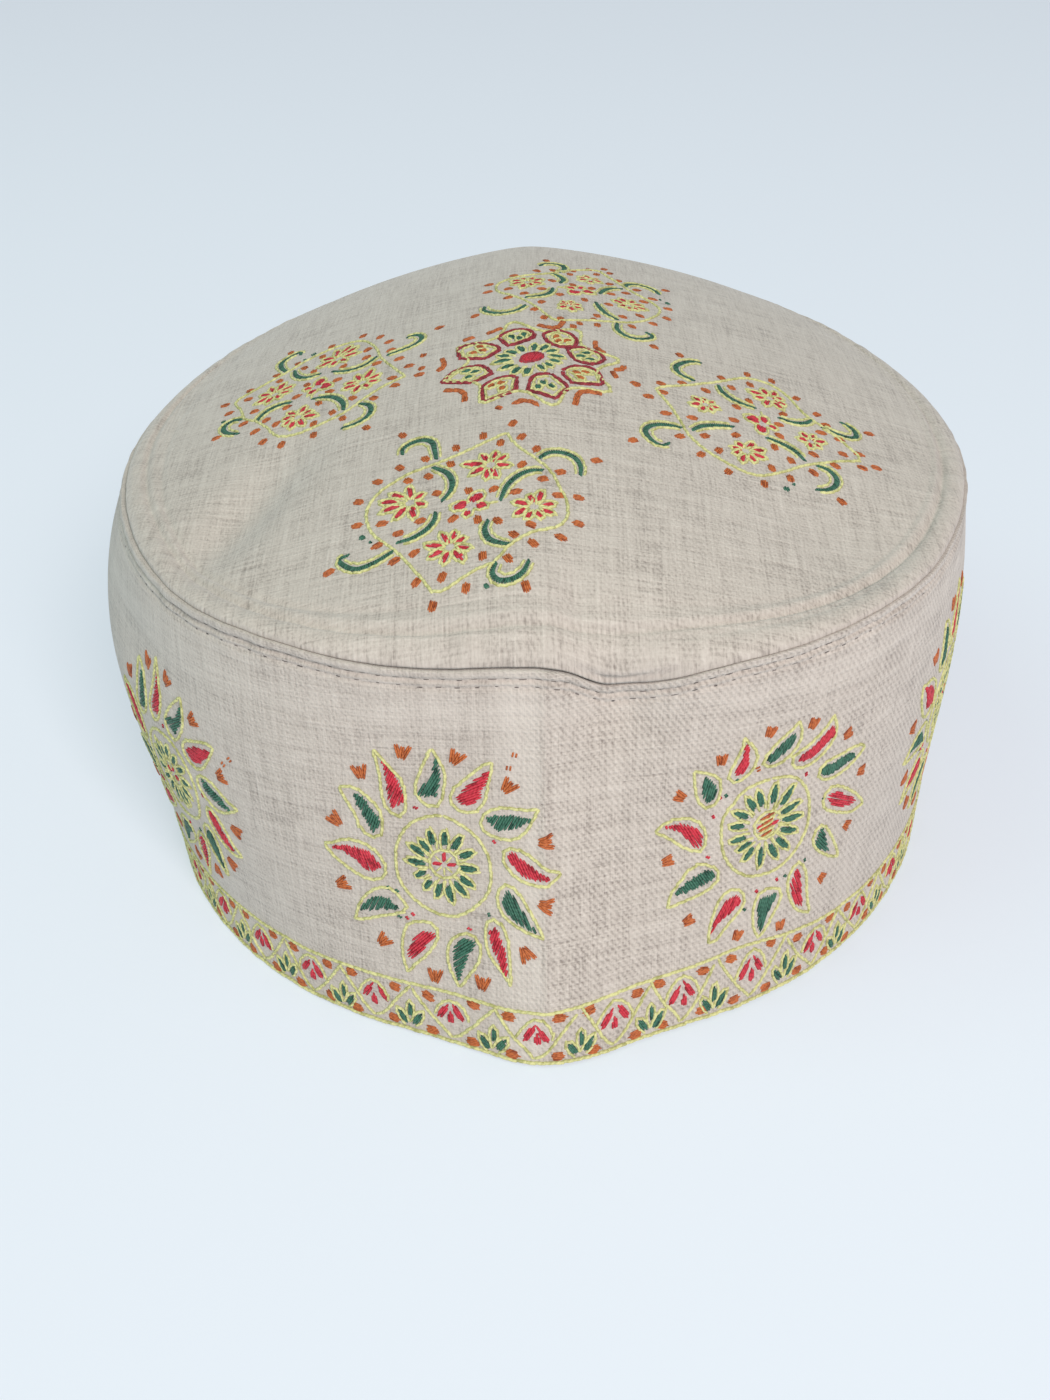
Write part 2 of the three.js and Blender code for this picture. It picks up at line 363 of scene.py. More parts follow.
def crown_edge(turn, inset):
    """Puckers, and the welts and grooves that run round the crown at their distances from the seam."""
    right, left = bell(degrees_of(turn) - 34, 26), bell(degrees_of(turn) + 48, 32)
    first, second = 4.4 + 1.3 * right + 0.4 * np.sin(5 * turn), 8 + 1.1 * np.sin(3 * turn + 1)
    edge = puckers(turn * 1.1, 0.09) * bell(inset - 2, 3) + 0.48 * bell(inset - 2, 1.6, 4)
    edge = edge - (0.6 + 0.2 * right) * bell(inset - first, 0.55 - 0.08 * right)
    edge = edge + 0.28 * bell(inset - 5.7 - 1.3 * right, 0.8)
    return edge - 0.55 * bell(inset - second, 0.7) * (0.2 + 0.8 * left)


def on_crown(x, y):
    """Places on the crown's face by their plan, which is measured from the middle of the rim."""
    x, y = np.broadcast_arrays(np.asarray(x, float), np.asarray(y, float))
    aside, back = SEAM["at"]
    turn = np.arctan2((x - aside) / SEAM["wide"], -(y - back) / SEAM["long"])
    seam = oval(SEAM, turn)
    full = np.hypot(seam[..., 0] - aside, seam[..., 1] - back)
    reach = np.hypot(x - aside, y - back) / full
    roll = ROLL["sides"] + ROLL["front"] * bell(degrees_of(turn), 52, 6)
    roll = roll + ROLL["back"] * bell(from_back(turn), 45, 4)
    drop = (seam_height(turn) - dome_height(seam[..., 0], seam[..., 1])) * reach**roll
    dents = 0
    for dent_x, dent_y, long, wide, heading, depth in CROWN_DENTS:
        slant = radians(heading)
        across = (x - dent_x) * cos(slant) + (y - dent_y) * sin(slant)
        lengthwise = (y - dent_y) * cos(slant) - (x - dent_x) * sin(slant)
        dents = dents + depth * bell(across, wide) * bell(lengthwise, long)
    inset = (1 - reach) * full
    edge = crown_edge(turn, inset) * np.clip(inset / 1.5, 0, 1)
    height = dome_height(x, y) + drop - dents * (1 - reach**12) + edge
    return np.stack([x, y, height], -1) + STAND


def crown_row(inset, inside=False):
    """A row of the crown's outer or inner face at a distance in from the seam."""
    middle = np.array(SEAM["at"])
    seam = oval(SEAM, COLUMNS) - middle

    def row_at(distance):
        plan = middle + seam * (1 - distance / np.linalg.norm(seam, axis=-1))[:, None]
        return on_crown(plan[:, 0], plan[:, 1])

    row, step = row_at(inset), 0.5
    if inside:
        slope = (row_at(inset + step)[:, 2] - row[:, 2]) / step
        row[:, 2] -= CROWN_CLOTH * np.minimum(np.hypot(1, slope), 2)
    return row


def seam_row(below, inset):
    row = band_point(COLUMNS, 1, inset)
    row[:, 2] = crown_row(inset)[:, 2] - below
    return row


# Out along the inside, down and up the allowance, over the seam's edge, and in along the outside.
crown_rows = [crown_row(inset, inside=True) for inset in (76, 62, 48, 34, 22, 12, 6, 3.5)]
crown_rows += [band_point(COLUMNS, 1 - 7 / band_rise, inset) for inset in (3.5, 3.2, 2.4, 2.1)]
crown_rows += [seam_row(1.22, 2.1), seam_row(1.18, 0.95 * groove), seam_row(1.13, 0.42 * groove),
               seam_row(1.02, 0.12 * groove), seam_row(0.6, 0.04), seam_row(0.28, 0.14), seam_row(0.08, 0.36)]
crown_rows += [crown_row(inset) for inset in np.concatenate(
    [[0.7], np.arange(1.1, 10.9, 0.33), np.linspace(11.5, 84, 57)])]
crown_flat = [row[:, :2] - STAND[:2] for row in crown_rows]
top, top_flat = on_crown(*SEAM["at"]), np.array(SEAM["at"])
crown_poles = [(top - [0, 0, CROWN_CLOTH], top_flat), (top, top_flat)]
crown = cloth_round("crown_cloth", crown_rows, crown_flat, wool("crown_wool_cloth", 0.4), crown_poles)
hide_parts("crown")

# The topstitching: two rows of small dark running stitches just below the seam, sewn by hand in
# fine cotton through the band and the crown's turned-down edge. Each row lies in its own groove.
DASH_WIDE, DASH_LOFT = 0.34, 0.16


def distance_along(curve):
    return np.concatenate([[0], np.cumsum(np.linalg.norm(np.diff(curve, axis=0), axis=1))])


def square_to(ahead):
    return np.stack([-ahead[..., 1], ahead[..., 0]], -1)


def smooth(points, closed=False, pitch=0.35):
    """A soft curve through points, as places at an even pitch along it."""
    points = np.asarray(points, float)
    if closed:
        points = np.concatenate([points[[-1]], points, points[[0]], points[[1]]])
    else:
        points = np.concatenate([2 * points[[0]] - points[[1]], points, 2 * points[[-1]] - points[[-2]]])
    t = np.linspace(0, 1, 12, endpoint=False)[:, None]
    a, b, c, d = points[:-3], points[1:-2], points[2:-1], points[3:]
    curve = [0.5 * (2 * q + (r - p) * t + (2 * p - 5 * q + 4 * r - s) * t**2 + (3 * q - p - 3 * r + s) * t**3)
             for p, q, r, s in zip(a, b, c, d)]
    curve = np.concatenate([*curve, c[[-1]]])
    far = distance_along(curve)
    even = np.linspace(0, far[-1], max(3, int(far[-1] / pitch)))
    return np.stack([np.interp(even, far, curve[:, 0]), np.interp(even, far, curve[:, 1])], -1)


class Needle:
    """Sews one thread on a face of the cap. A stitch is its two ends, its width and its loft."""

    def __init__(self, face, seed):
        self.face, self.stitches, self.chance = face, [], np.random.default_rng(seed)

    def stitch(self, start, end, width=0.42, loft=0.3):
        self.stitches.append((*start, *end, width, loft))

    def line(self, points, closed=False, width=0.66, loft=0.44, step=1.7, reach=2.3):
        """A row of stem stitches along a curve, each laid a little across the last."""
        curve = smooth(points, closed)
        far = distance_along(curve)
        count = max(1, round(far[-1] / step))
        for start in np.linspace(0, far[-1], count, endpoint=False):
            ends = (start, min(start + reach, far[-1]))
            place = np.array([[np.interp(end, far, curve[:, k]) for k in (0, 1)] for end in ends])
            ahead = place[1] - place[0]
            across = square_to(ahead) / (np.hypot(*ahead) + 1e-6)
            jog = 0.1 + self.chance.uniform(-0.06, 0.06)
            place = place + self.chance.uniform(-0.06, 0.06, 2)
            self.stitch(place[0] + across * jog, place[1] - across * jog, width, loft)

    def fill(self, outline, heading, gap=0.46, width=0.56, loft=0.42):
        """Satin stitches side by side across a shape, at a heading in degrees."""
        shape = smooth(outline, closed=True)
        turn = radians(heading)
        axes = np.array([[cos(turn), sin(turn)], [-sin(turn), cos(turn)]])
        flat = shape @ axes.T
        after = np.roll(flat, -1, axis=0)
        for row in np.arange(flat[:, 1].min() + gap * 0.4, flat[:, 1].max(), gap):
            crossing = (flat[:, 1] <= row) != (after[:, 1] <= row)
            low, high = flat[crossing], after[crossing]
            share = (row - low[:, 1]) / (high[:, 1] - low[:, 1])
            ends = np.sort(low[:, 0] + (high[:, 0] - low[:, 0]) * share)
            for start, end in zip(ends[::2], ends[1::2]):
                ragged = self.chance.uniform(-0.24, 0.24, 3)
                places = np.array([[start - ragged[0], row + ragged[2] * 0.6], [end + ragged[1], row]]) @ axes
                self.stitch(places[0], places[1], width, loft)

    def drop(self, place, heading, long, wide, threads):
        """A small dab of a few stitches side by side."""
        turn = radians(heading + self.chance.uniform(-9, 9))
        ahead = np.array([cos(turn), sin(turn)])
        for share in np.linspace(-0.5, 0.5, threads):
            half = ahead * long * (0.5 - 0.32 * abs(share)) * self.chance.uniform(0.85, 1.1)
            middle = np.array(place) + square_to(ahead) * share * wide * 0.8
            middle = middle + ahead * self.chance.uniform(-0.15, 0.15)
            self.stitch(middle - half, middle + half, 0.44, 0.3)

    def piece(self, name, material, slot):
        """All the stitches so far as one piece: each a half-round strand with its ends in the cloth."""
        data = np.array(self.stitches)
        start, end, width, loft = data[:, 0:2], data[:, 2:4], data[:, 4], data[:, 5]
        along = end - start
        long = np.linalg.norm(along, axis=1)
        across = square_to(along) / (long[:, None] + 1e-9)
        # Five rings of four points: where they are along the strand, how wide and how high.
        share = np.array([0, 0.14, 0.5, 0.86, 1])
        wide_share, high_share = np.array([0.45, 0.95, 1, 0.95, 0.45]), np.array([0.05, 0.8, 1, 0.8, 0.05])
        angle, sunk, step = np.radians([0, 60, 120, 180]), 0.06, 0.25
        side = np.cos(angle)[None, None] * wide_share[None, :, None] * width[:, None, None] / 2
        flat = start[:, None, None] + along[:, None, None] * share[None, :, None, None]
        flat = flat + across[:, None, None] * side[..., None]
        lift = np.sin(angle)[None, None] * high_share[None, :, None] * loft[:, None, None] - sunk
        u, v = flat[..., 0], flat[..., 1]
        normal = np.cross(self.face(u + step, v) - self.face(u - step, v),
                          self.face(u, v + step) - self.face(u, v - step))
        normal /= np.linalg.norm(normal, axis=-1, keepdims=True)
        points = (self.face(u, v) + normal * lift[..., None]).reshape(-1, 3)
        ring, strand = np.meshgrid(np.arange(4), np.arange(3), indexing="ij")
        corner = (ring * 4 + strand).ravel()
        quads = np.stack([corner, corner + 4, corner + 5, corner + 1], -1)
        faces = (np.arange(len(data))[:, None, None] * 20 + quads).reshape(-1, 4)
        far = (long[:, None, None] * share[None, :, None] + np.zeros(4)).ravel()
        far = far + np.repeat(self.chance.uniform(0, 50, len(data)), 20)
        places = np.stack([far, np.tile([0, 0.33, 0.67, 1], len(data) * 5)], -1)[faces.ravel()]
        piece = piece_of(name, points, faces.tolist(), "strand", places, material)


def thread(name, pale, dark):
    """A two-ply silky thread: its tint changes from stitch to stitch at random, and it is painted darker at
    its sides and in the grooves of its twist, painted shade where strands meet and the plies turn away.
    """
    material, finish, start = new_material(name, Specular_IOR_Level=0.32)
    along = start.of("SeparateXYZ", {}, {0: start.of("UVMap", {"uv_map": "strand"}, {})})
    across = along.second()
    twist = (along * 7.5 + across * 6.3).waves()
    tint = start.of("TexNoise", {"noise_dimensions": "1D"}, {"W": along * 0.4, "Scale": 1, "Detail": 1})
    side = across - 0.5
    # Painted shade: the colour turns towards dark at the strand's sides and in the twist's grooves, on top of
    # the random tint.
    share = (tint - 0.5) * 2 + 0.14 + side * side * 4 + (0.5 - twist) * 0.35
    colour = start.of("Mix", {"data_type": "RGBA"}, {0: share, 6: (*pale, 1), 7: (*dark, 1)}, 2)
    bump = start.of("Bump", {}, {"Strength": 0.5, "Distance": 0.00012, "Height": twist})
    feed(finish, Base_Color=colour, Roughness=tint * 0.2 + 0.42, Normal=bump)
    return material


topstitch = Needle(on_band, 3)
for below, pitch, dash_long in ((TOPSTITCH, 2.7, 1.5), (LOWER_STITCH, 3.4, 1.1)):
    for dash in np.arange(ARC[0] + 1, ARC[-1] - 2, pitch):
        start = dash + topstitch.chance.uniform(-0.3, 0.3)
        ends = start + np.array([0, dash_long * topstitch.chance.uniform(0.6, 1.3)])
        heights = seam_height(np.interp(ends, ARC, ARC_TURNS)) - below + topstitch.chance.uniform(-0.12, 0.12)
        topstitch.stitch((ends[0], heights[0]), (ends[1], heights[1]), DASH_WIDE, DASH_LOFT)
topstitch.piece("topstitching", thread("dark_cotton", (0.19, 0.16, 0.145), (0.07, 0.06, 0.055)), "band_wool")

# The suns on the band: nine in a row, embroidered by hand in silky thread. Each has a ring, an
# inner flower of green petals, twelve swirling petals in turn red and green, loosely outlined in
# pale yellow, and orange claw marks between them. Places are right of and above a sun's middle.
PALE = thread("pale_yellow_silk", (0.67, 0.655, 0.3), (0.35, 0.345, 0.125))
RED = thread("red_silk", (0.6, 0.038, 0.062), (0.22, 0.006, 0.014))
GREEN = thread("green_silk", (0.05, 0.16, 0.105), (0.006, 0.032, 0.022))
ORANGE = thread("orange_silk", (0.53, 0.145, 0.04), (0.2, 0.036, 0.01))
SUN_ONE = {
    "petals": [
        ("red", 65, [(-11.6, 22.1), (-10, 20.2), (-8.5, 18.1), (-7, 16.7), (-6.65, 14.6), (-6.5, 12.3),
         (-6.9, 9.2), (-8.5, 9.2), (-10, 10.2), (-10.7, 12.7), (-10.8, 14.6), (-10.8, 17.3), (-11.3, 19.6)],
         [(-10.3, 20.2), (-9, 18.8), (-7.9, 17.1), (-6.9, 14.6), (-6.8, 12.3), (-7.9, 11.2), (-8.8, 10.4),
          (-9.6, 11.5), (-9.7, 13.5), (-9.8, 15.8), (-10, 18.1)]),
        ("green", 60, [(-1.4, 22.9), (-0.2, 21), (0.7, 18.5), (0.8, 16.5), (0.2, 14.2), (-0.2, 11.9),
         (-1.5, 11.2), (-3.1, 11.9), (-4.6, 13.3), (-4.7, 15), (-3.8, 17.7), (-2.5, 20.8)],
         [(-0.6, 21), (0.1, 18.5), (0, 16.5), (-0.8, 14.6), (-1, 13.5), (-4, 13.1), (-4.4, 13.8),
          (-3.1, 15.8), (-1.7, 17.3), (-1.2, 19.6)]),
        ("red", 25, [(9.2, 20.8), (6.9, 19.6), (4.2, 16.9), (1.9, 15), (1.5, 13.1), (2.3, 11.3),
         (4.6, 10.8), (6.9, 11.5), (7.9, 13.8), (8.5, 16.5), (9, 18.5)],
         [(8.8, 19.2), (8.8, 17.7), (7.5, 15.4), (7.1, 13.8), (4.6, 12.1), (2.9, 12.5), (2.6, 13.3),
          (4.2, 15.6), (6.5, 17.5)]),
        ("green", 60, [(17.5, 12.5), (15.4, 12), (11.5, 12.3), (8.5, 11.5), (6.9, 9.6), (7.1, 7.7),
         (9.2, 6.7), (12.3, 6.3), (14.6, 7.3), (16, 9.6), (17.1, 11.5)],
         [(16, 10.4), (13.1, 11), (10, 10.8), (8.1, 10.2), (8.5, 9), (10, 7.8), (12.3, 8.3), (14.2, 9)]),
        ("red", 115, [(21.5, 0.6), (19.2, 1.3), (16.5, 3.3), (13.8, 4.8), (11.7, 4.8), (10.6, 3.5),
         (11.2, 1.9), (12.7, 0), (14.6, -1.2), (17.3, -1.5), (20, -1.2)],
         [(19.4, -0.3), (17.3, 1.2), (14.6, 2.9), (12.9, 4.2), (11.7, 3.9), (12.1, 2.3), (13.5, 0.8),
          (15, -0.4), (16.5, -0.7)]),
        ("green", 115, [(18.3, -11), (17.1, -8.7), (15.4, -5.8), (13.5, -2.9), (11.5, -1.7), (10, -3.1),
         (9.8, -5.4), (10.8, -7.7), (13.5, -9.4), (16.2, -10.6)],
         [(16.9, -10.3), (15.4, -7.9), (14, -5.6), (12.7, -3.5), (11.5, -2.6), (11, -3.8), (10.8, -5.8),
          (12.1, -7.7), (14.2, -9.2)]),
        ("red", 70, [(12.2, -20.8), (12.1, -17.7), (11.9, -14.2), (11.7, -11.5), (10.4, -9.2), (9.4, -8.3),
         (7.9, -9.2), (7.5, -11.5), (7.9, -14.6), (9.2, -16.9), (11.2, -18.8)],
         [(11.2, -19), (11.5, -16.9), (11.2, -14.2), (10.4, -11.9), (9.6, -9.8), (8.5, -11), (8.3, -12.7),
          (9.2, -15.4), (10.2, -17.7)]),
        ("green", 40, [(2.6, -23.3), (4, -21), (5.6, -18.7), (6.7, -16.2), (6.5, -13.5), (4.8, -12.1),
         (2.7, -12.7), (1, -14.2), (0.3, -16.9), (0.6, -19.6), (1.5, -21.5)],
         [(2.4, -21.9), (3.5, -19.2), (4.4, -16.5), (6, -13.7), (3.8, -13.3), (2.1, -14.6), (1.3, -16.9),
          (1.5, -19.6)]),
        ("red", 45, [(-7.6, -22.7), (-6.2, -20.8), (-4.2, -18.8), (-2.3, -16.2), (-1.3, -13.8),
         (-2.1, -11.5), (-4.8, -11.5), (-7.3, -12.5), (-8.3, -15.4), (-8.5, -18.5), (-8, -21.2)],
         [(-7.3, -19.8), (-5, -17.9), (-3.5, -16), (-1.7, -13.8), (-2.3, -13.1), (-4.4, -13.3),
          (-5.4, -14.4), (-6.9, -16.5), (-7.6, -18.7)]),
        ("green", 65, [(-17.9, -13.8), (-15.4, -13.1), (-12.7, -11.9), (-10, -11), (-6.9, -9.6),
         (-7.9, -7.9), (-9.2, -6.3), (-10.8, -5.4), (-13.1, -6.2), (-15, -7.7), (-16.5, -9.8),
         (-17.3, -11.9)],
         [(-16.7, -11.5), (-15.2, -9.2), (-13.5, -7.9), (-11.2, -7.5), (-9.6, -8.7), (-8.7, -9.6),
          (-10.8, -10.2), (-13.5, -10.8)]),
        ("red", 110, [(-22.7, 1.3), (-21.2, 1.7), (-18.8, 3.1), (-15.8, 3.1), (-13.5, 2.3), (-11.5, 0.2),
         (-10.8, -1.9), (-11.7, -4), (-13.8, -4.6), (-16.2, -4), (-18.5, -2.5), (-20.4, -1.5), (-21.7, 0)],
         [(-21, 1), (-19.2, 1.7), (-16.5, 1.9), (-14.2, 1.5), (-12.5, -0.4), (-11.9, -1.9), (-13.5, -3),
          (-15.4, -2.3), (-16.9, -0.8), (-18.8, 0.4)]),
        ("green", 70, [(-18.6, 13.8), (-16.5, 14.3), (-14.6, 13.5), (-12.7, 11.7), (-11.2, 9.6),
         (-11.1, 6.9), (-11.5, 4.4), (-13.5, 4.4), (-15.2, 5.4), (-15.5, 7.3), (-16.7, 10), (-17.9, 12.1)],
         [(-16, 12.9), (-14.2, 12.3), (-13.1, 10.4), (-11.7, 8.8), (-11.7, 6.9), (-13.3, 5.1), (-13.8, 6.9),
          (-14.6, 8.5), (-15.6, 10.8)]),
    ],
    "ring": [(0, 9.8), (4.6, 7.7), (7.5, 4.6), (8.65, 1.2), (8.5, -3.1), (6.5, -6.2), (3.1, -9), (0, -9.6),
        (-3.5, -8.7), (-6.5, -6.5), (-8.5, -3.5), (-9, 0), (-8.5, 3.8), (-6.5, 7.3), (-3.5, 9.2)],
    "flower": [((0.2, 4.2), (0.3, 6.9)), ((1.7, 3.7), (3.3, 6.2)), ((3.3, 2.4), (5.6, 3.5)),
        ((3.3, 0.2), (6.3, 0.2)), ((3.3, -1.7), (5.6, -3.1)), ((1.9, -2.7), (4.2, -5)),
        ((0.6, -3.7), (1.5, -6.7)), ((-0.6, -3.5), (-1.5, -6.3)), ((-2.5, -3.3), (-3.8, -4.8)),
        ((-3.7, -1.7), (-5.4, -2.5)), ((-3.8, 0.1), (-6.9, 0.6)), ((-3.5, 1.9), (-6.3, 3.7)),
        ((-2.9, 2.9), (-4.3, 4.8)), ((-2, 4.2), (-2.5, 6.9))],
    "claws": [(-6.5, 21.9, 80), (2.9, 21.3, 60), (-14.4, 17.3, 100), (-20, 6.9, 135), (12.1, 16.3, 50),
        (18.8, 6.5, 5), (18.7, -5, -15), (15, -14.2, -60), (6.9, -21.3, 85), (-2.2, -22.1, 88),
        (-12.2, -16.9, 45), (-19.8, -6.5, 25)],
    "flower size": 1.04,
    "strays": [(13.3, 22.2, 70), (12.2, 19.7, 80)],
    "red specks": [(-4.8, 11), (9.4, 5.8), (-6.2, -10.4), (-7.3, -11.3), (4.6, -11.3)],
    "green specks": [(-10.6, -5.6), (-9, -6), (8.3, -7.9), (-8.7, -11.3)],
}
SUN_TWO = {
    "petals": [
        ("red", 60, [(-6.2, 19.6), (-4.6, 17.9), (-3.1, 15.8), (-3.5, 13.3), (-5, 11.5), (-7.1, 10.6),
         (-8.5, 11.7), (-7.9, 13.8), (-6.7, 16.3), (-6, 18.3)],
         [(-5.4, 18.1), (-4.7, 16.3), (-4.8, 14.2), (-5.8, 12.3), (-7.1, 11.7), (-7.3, 12.7), (-6.3, 14.6),
          (-5.9, 16.7)]),
        ("green", 60, [(4.4, 20.3), (5.4, 17.9), (5, 15.4), (2.9, 13.3), (0.4, 12.3), (-1.7, 12.7),
         (-2.3, 13.8), (-1, 15.4), (0.8, 17.3), (3.1, 18.8)],
         [(4, 18.4), (4, 16.9), (2.5, 14.8), (0.6, 13.3), (-1, 13.1), (-1.3, 14.2), (0.2, 15.6),
          (2.3, 17.3)]),
        ("red", 60, [(11.9, 19), (10.6, 16.9), (8.8, 15.6), (6.3, 14), (3.7, 13.3), (4, 11.7), (5.4, 10.2),
         (8.3, 10.4), (10.8, 11.7), (12.9, 13.8), (13.3, 15.6), (12.9, 16.9)],
         [(12.5, 16.8), (12.8, 14.8), (10.6, 12.9), (8.3, 11.5), (6.3, 11.3), (5.4, 11.9), (6.3, 13.1),
          (8.8, 14.2), (11, 16)]),
        ("green", 80, [(21.7, 8.8), (19.6, 9.8), (16.7, 9.8), (13.3, 9.6), (10.8, 9.2), (10, 7.5), (11, 6),
         (13.8, 5.4), (17.1, 6), (19.8, 7.1)],
         [(19.2, 7.7), (17.1, 9.2), (14.2, 8.8), (11.7, 8.8), (10.8, 7.9), (11.5, 6.7), (13.8, 6.3),
          (16.7, 7.1)]),
        ("red", -30, [(24.2, -4.6), (21.7, -1.7), (18.8, 0.8), (15.8, 2.9), (13.3, 3.5), (12.1, 2.1),
         (12.5, -0.4), (15, -2.3), (17.9, -3.8), (20.8, -5)],
         [(21, -3.5), (21.7, -2.7), (19.2, -0.8), (16.3, 1.3), (14, 2.1), (13.1, 1.3), (14.6, -0.6),
          (17.5, -2.3)]),
        ("green", -50, [(18.8, -13.8), (17.5, -10.8), (15.8, -7.9), (14.2, -5.4), (12.5, -3.8),
         (10.8, -5.4), (11, -7.5), (12.5, -9.6), (15, -11.7), (17.1, -13.1)],
         [(16, -11.7), (15, -9.2), (14, -6.5), (12.7, -4.8), (11.7, -5.8), (11.7, -7.7), (12.9, -9.4),
          (14.6, -10.6)]),
        ("red", -65, [(12.1, -22.9), (11.3, -20), (10.6, -16.7), (10.2, -13.8), (9.2, -11.3), (7.7, -9.8),
         (6, -11.3), (5.6, -14.2), (6.3, -17.1), (7.9, -20), (10, -21.9)],
         [(10, -20.8), (9.6, -17.9), (9, -14.6), (8, -11.3), (6.9, -12.3), (6.3, -14.2), (7.1, -17.1),
          (8.3, -19.6)]),
        ("green", 75, [(-0.2, -23.3), (1.7, -21), (3.3, -18.3), (4.4, -16.3), (4, -14.2), (1.7, -13.3),
         (-0.6, -13.3), (-1.7, -15.4), (-1.9, -18.3), (-1.3, -21.3)],
         [(0, -22.5), (1, -19.6), (2.3, -17.1), (3.1, -14.8), (1, -14.4), (-0.4, -14.8), (-1, -16.7),
          (-0.8, -19.6)]),
        ("red", 60, [(-11, -21), (-9, -20.6), (-7.9, -18.8), (-5.4, -16.7), (-3.8, -14.6), (-4.2, -12.1),
         (-6.7, -10.8), (-8.8, -12.1), (-10, -15), (-10.8, -17.9)],
         [(-10.6, -19.4), (-9.2, -17.5), (-6.7, -15.8), (-4.8, -14.2), (-5, -12.5), (-7.1, -12.5),
          (-8.5, -14.2), (-10, -16.7)]),
        ("green", 120, [(-19.1, -12.1), (-16.3, -11.3), (-13.3, -10.6), (-10.8, -9.6), (-9, -7.7),
         (-10, -5.8), (-11.7, -4.6), (-14.6, -4.4), (-15.4, -5.8), (-17.1, -7.5), (-18.5, -9.2)],
         [(-17.7, -9.4), (-15.4, -7.3), (-13.3, -6.3), (-11.3, -5.8), (-9.9, -7.5), (-11.3, -8.5),
          (-13.8, -9.2), (-15.8, -9.8)]),
        ("red", 120, [(-21.5, 3.1), (-19.4, 5), (-16.7, 5.2), (-14.2, 4.8), (-12.7, 3.1), (-11.9, 0.8),
         (-12.1, -0.8), (-12.9, -2.1), (-15.4, -1), (-17.9, 0.8), (-19.8, 2.3)],
         [(-19.7, 4), (-16.7, 4.4), (-14.4, 3.3), (-12.9, 1.3), (-12.8, -0.8), (-14.2, -1), (-15.4, 0.8),
          (-17.1, 2.7)]),
        ("green", 75, [(-14.8, 14.2), (-12.1, 13.5), (-10, 12.1), (-9.6, 9.6), (-10.2, 7.5), (-11.5, 6.3),
         (-13.3, 7.3), (-14.2, 9.6), (-14.5, 12.1)],
         [(-12.8, 13.1), (-11.3, 12.1), (-10.4, 10.2), (-10.8, 8.3), (-12.1, 7.3), (-12.9, 8.8),
          (-13.1, 11.3)]),
    ],
    "ring": [(0, 9.8), (4.6, 8.9), (7.9, 5.4), (9, 1.3), (8.9, -3.3), (6.7, -7.1), (3.3, -9.4), (0, -9.8),
        (-3.7, -9), (-6.6, -6.7), (-8.6, -3), (-9.2, 1.7), (-8.5, 5), (-6.8, 6.6), (-5.4, 8.8),
        (-2.6, 9.6)],
    "flower": [((0.6, 4.8), (0.9, 7.5)), ((2.5, 3.8), (4.2, 6.3)), ((2.7, 2.3), (5.8, 2.9)),
        ((3.3, 0.6), (6.5, 0.2)), ((3.1, -1.3), (5.8, -2.5)), ((2.3, -3.1), (4.4, -5.2)),
        ((0.8, -4), (2.3, -6.3)), ((-1, -4), (-1, -6.9)), ((-2.7, -3.5), (-4, -5)),
        ((-3.3, -2.3), (-5.2, -2.9)), ((-4.4, -1), (-6.5, -1)), ((-4.8, 1.5), (-6.7, 1.7)),
        ((-4.2, 3.1), (-6, 4.2)), ((-2.9, 4.6), (-4, 6.3)), ((-1.5, 5), (-2.2, 7.1))],
    "claws": [(-1.2, 19.6, 70), (7.5, 18.8, 65), (-9.9, 15.8, 88), (-17.1, 9.6, 150), (16.3, 13.5, 20),
        (21.7, 3.5, -5), (20, -7.5, -35), (14.6, -16.5, -45), (4.6, -22.5, 85), (-5, -21, 65),
        (-15, -15.2, 25), (-19.1, -2.7, 15)],
    "flower size": 1.17,
    "strays": [(-2.8, 12.5, 10)],
    "red specks": [(-1.3, -12.9), (3.1, -11.9), (-11.5, -3.3), (-10.8, 4.6), (7.3, 8.5), (-9.6, 8.3)],
    "green specks": [(-6.7, 11), (-8.5, 8.5), (4.8, -11.9), (9.4, -10.2), (-3.8, -16), (12.3, 1.7)],
}
# Round from the front crease: distance along the band, height, chart, turn to the left and size.
SUNS = [(-18.7, 35.7, SUN_ONE, 0, 1), (41.8, 37.5, SUN_TWO, 0, 1), (-82.2, 35.6, SUN_ONE, -28, 1),
        (102, 37, SUN_ONE, -29, 0.98), (166, 36, SUN_TWO, 24, 1), (230, 35.5, SUN_ONE, 14, 0.98),
        (-146, 36.5, SUN_TWO, -13, 0.99), (-210, 35.5, SUN_ONE, 33, 1), (-273.5, 36, SUN_TWO, 8, 0.97)]


def placed(points, at, turn, size, phase):
    """A chart's places, turned, sized and moved, with the small wander of a hand that copies it."""
    x, y = np.asarray(points, float).T
    x, y = x + 0.35 * np.sin(0.31 * y + phase), y + 0.35 * np.sin(0.27 * x + 1.7 * phase)
    slant = radians(turn)
    return np.stack([at[0] + size * (x * cos(slant) - y * sin(slant)),
                     at[1] + size * (x * sin(slant) + y * cos(slant))], -1)


def leaf(base, ahead, wide):
    """A narrow leaf's outline from its tip round its base."""
    side = square_to(ahead) / np.hypot(*ahead) * wide / 2
    left = [base + ahead * far + side * out for far, out in ((0.72, 0.8), (0.38, 1), (0.06, 0.6))]
    right = [base + ahead * far - side * out for far, out in ((0.06, 0.6), (0.38, 1), (0.72, 0.8))]
    return [base + ahead, *left, *right]


def sewn_leaf(needle, chart_place, base, tip, wide, turn=0.0, gap=0.34):
    """A leaf in satin stitch. Gives its base and the way to its tip."""
    base = np.array(base, float)
    ahead = np.array(tip, float) - base
    needle.fill(chart_place(leaf(base, ahead, wide)), np.degrees(np.arctan2(ahead[1], ahead[0])) + turn, gap)
    return base, ahead


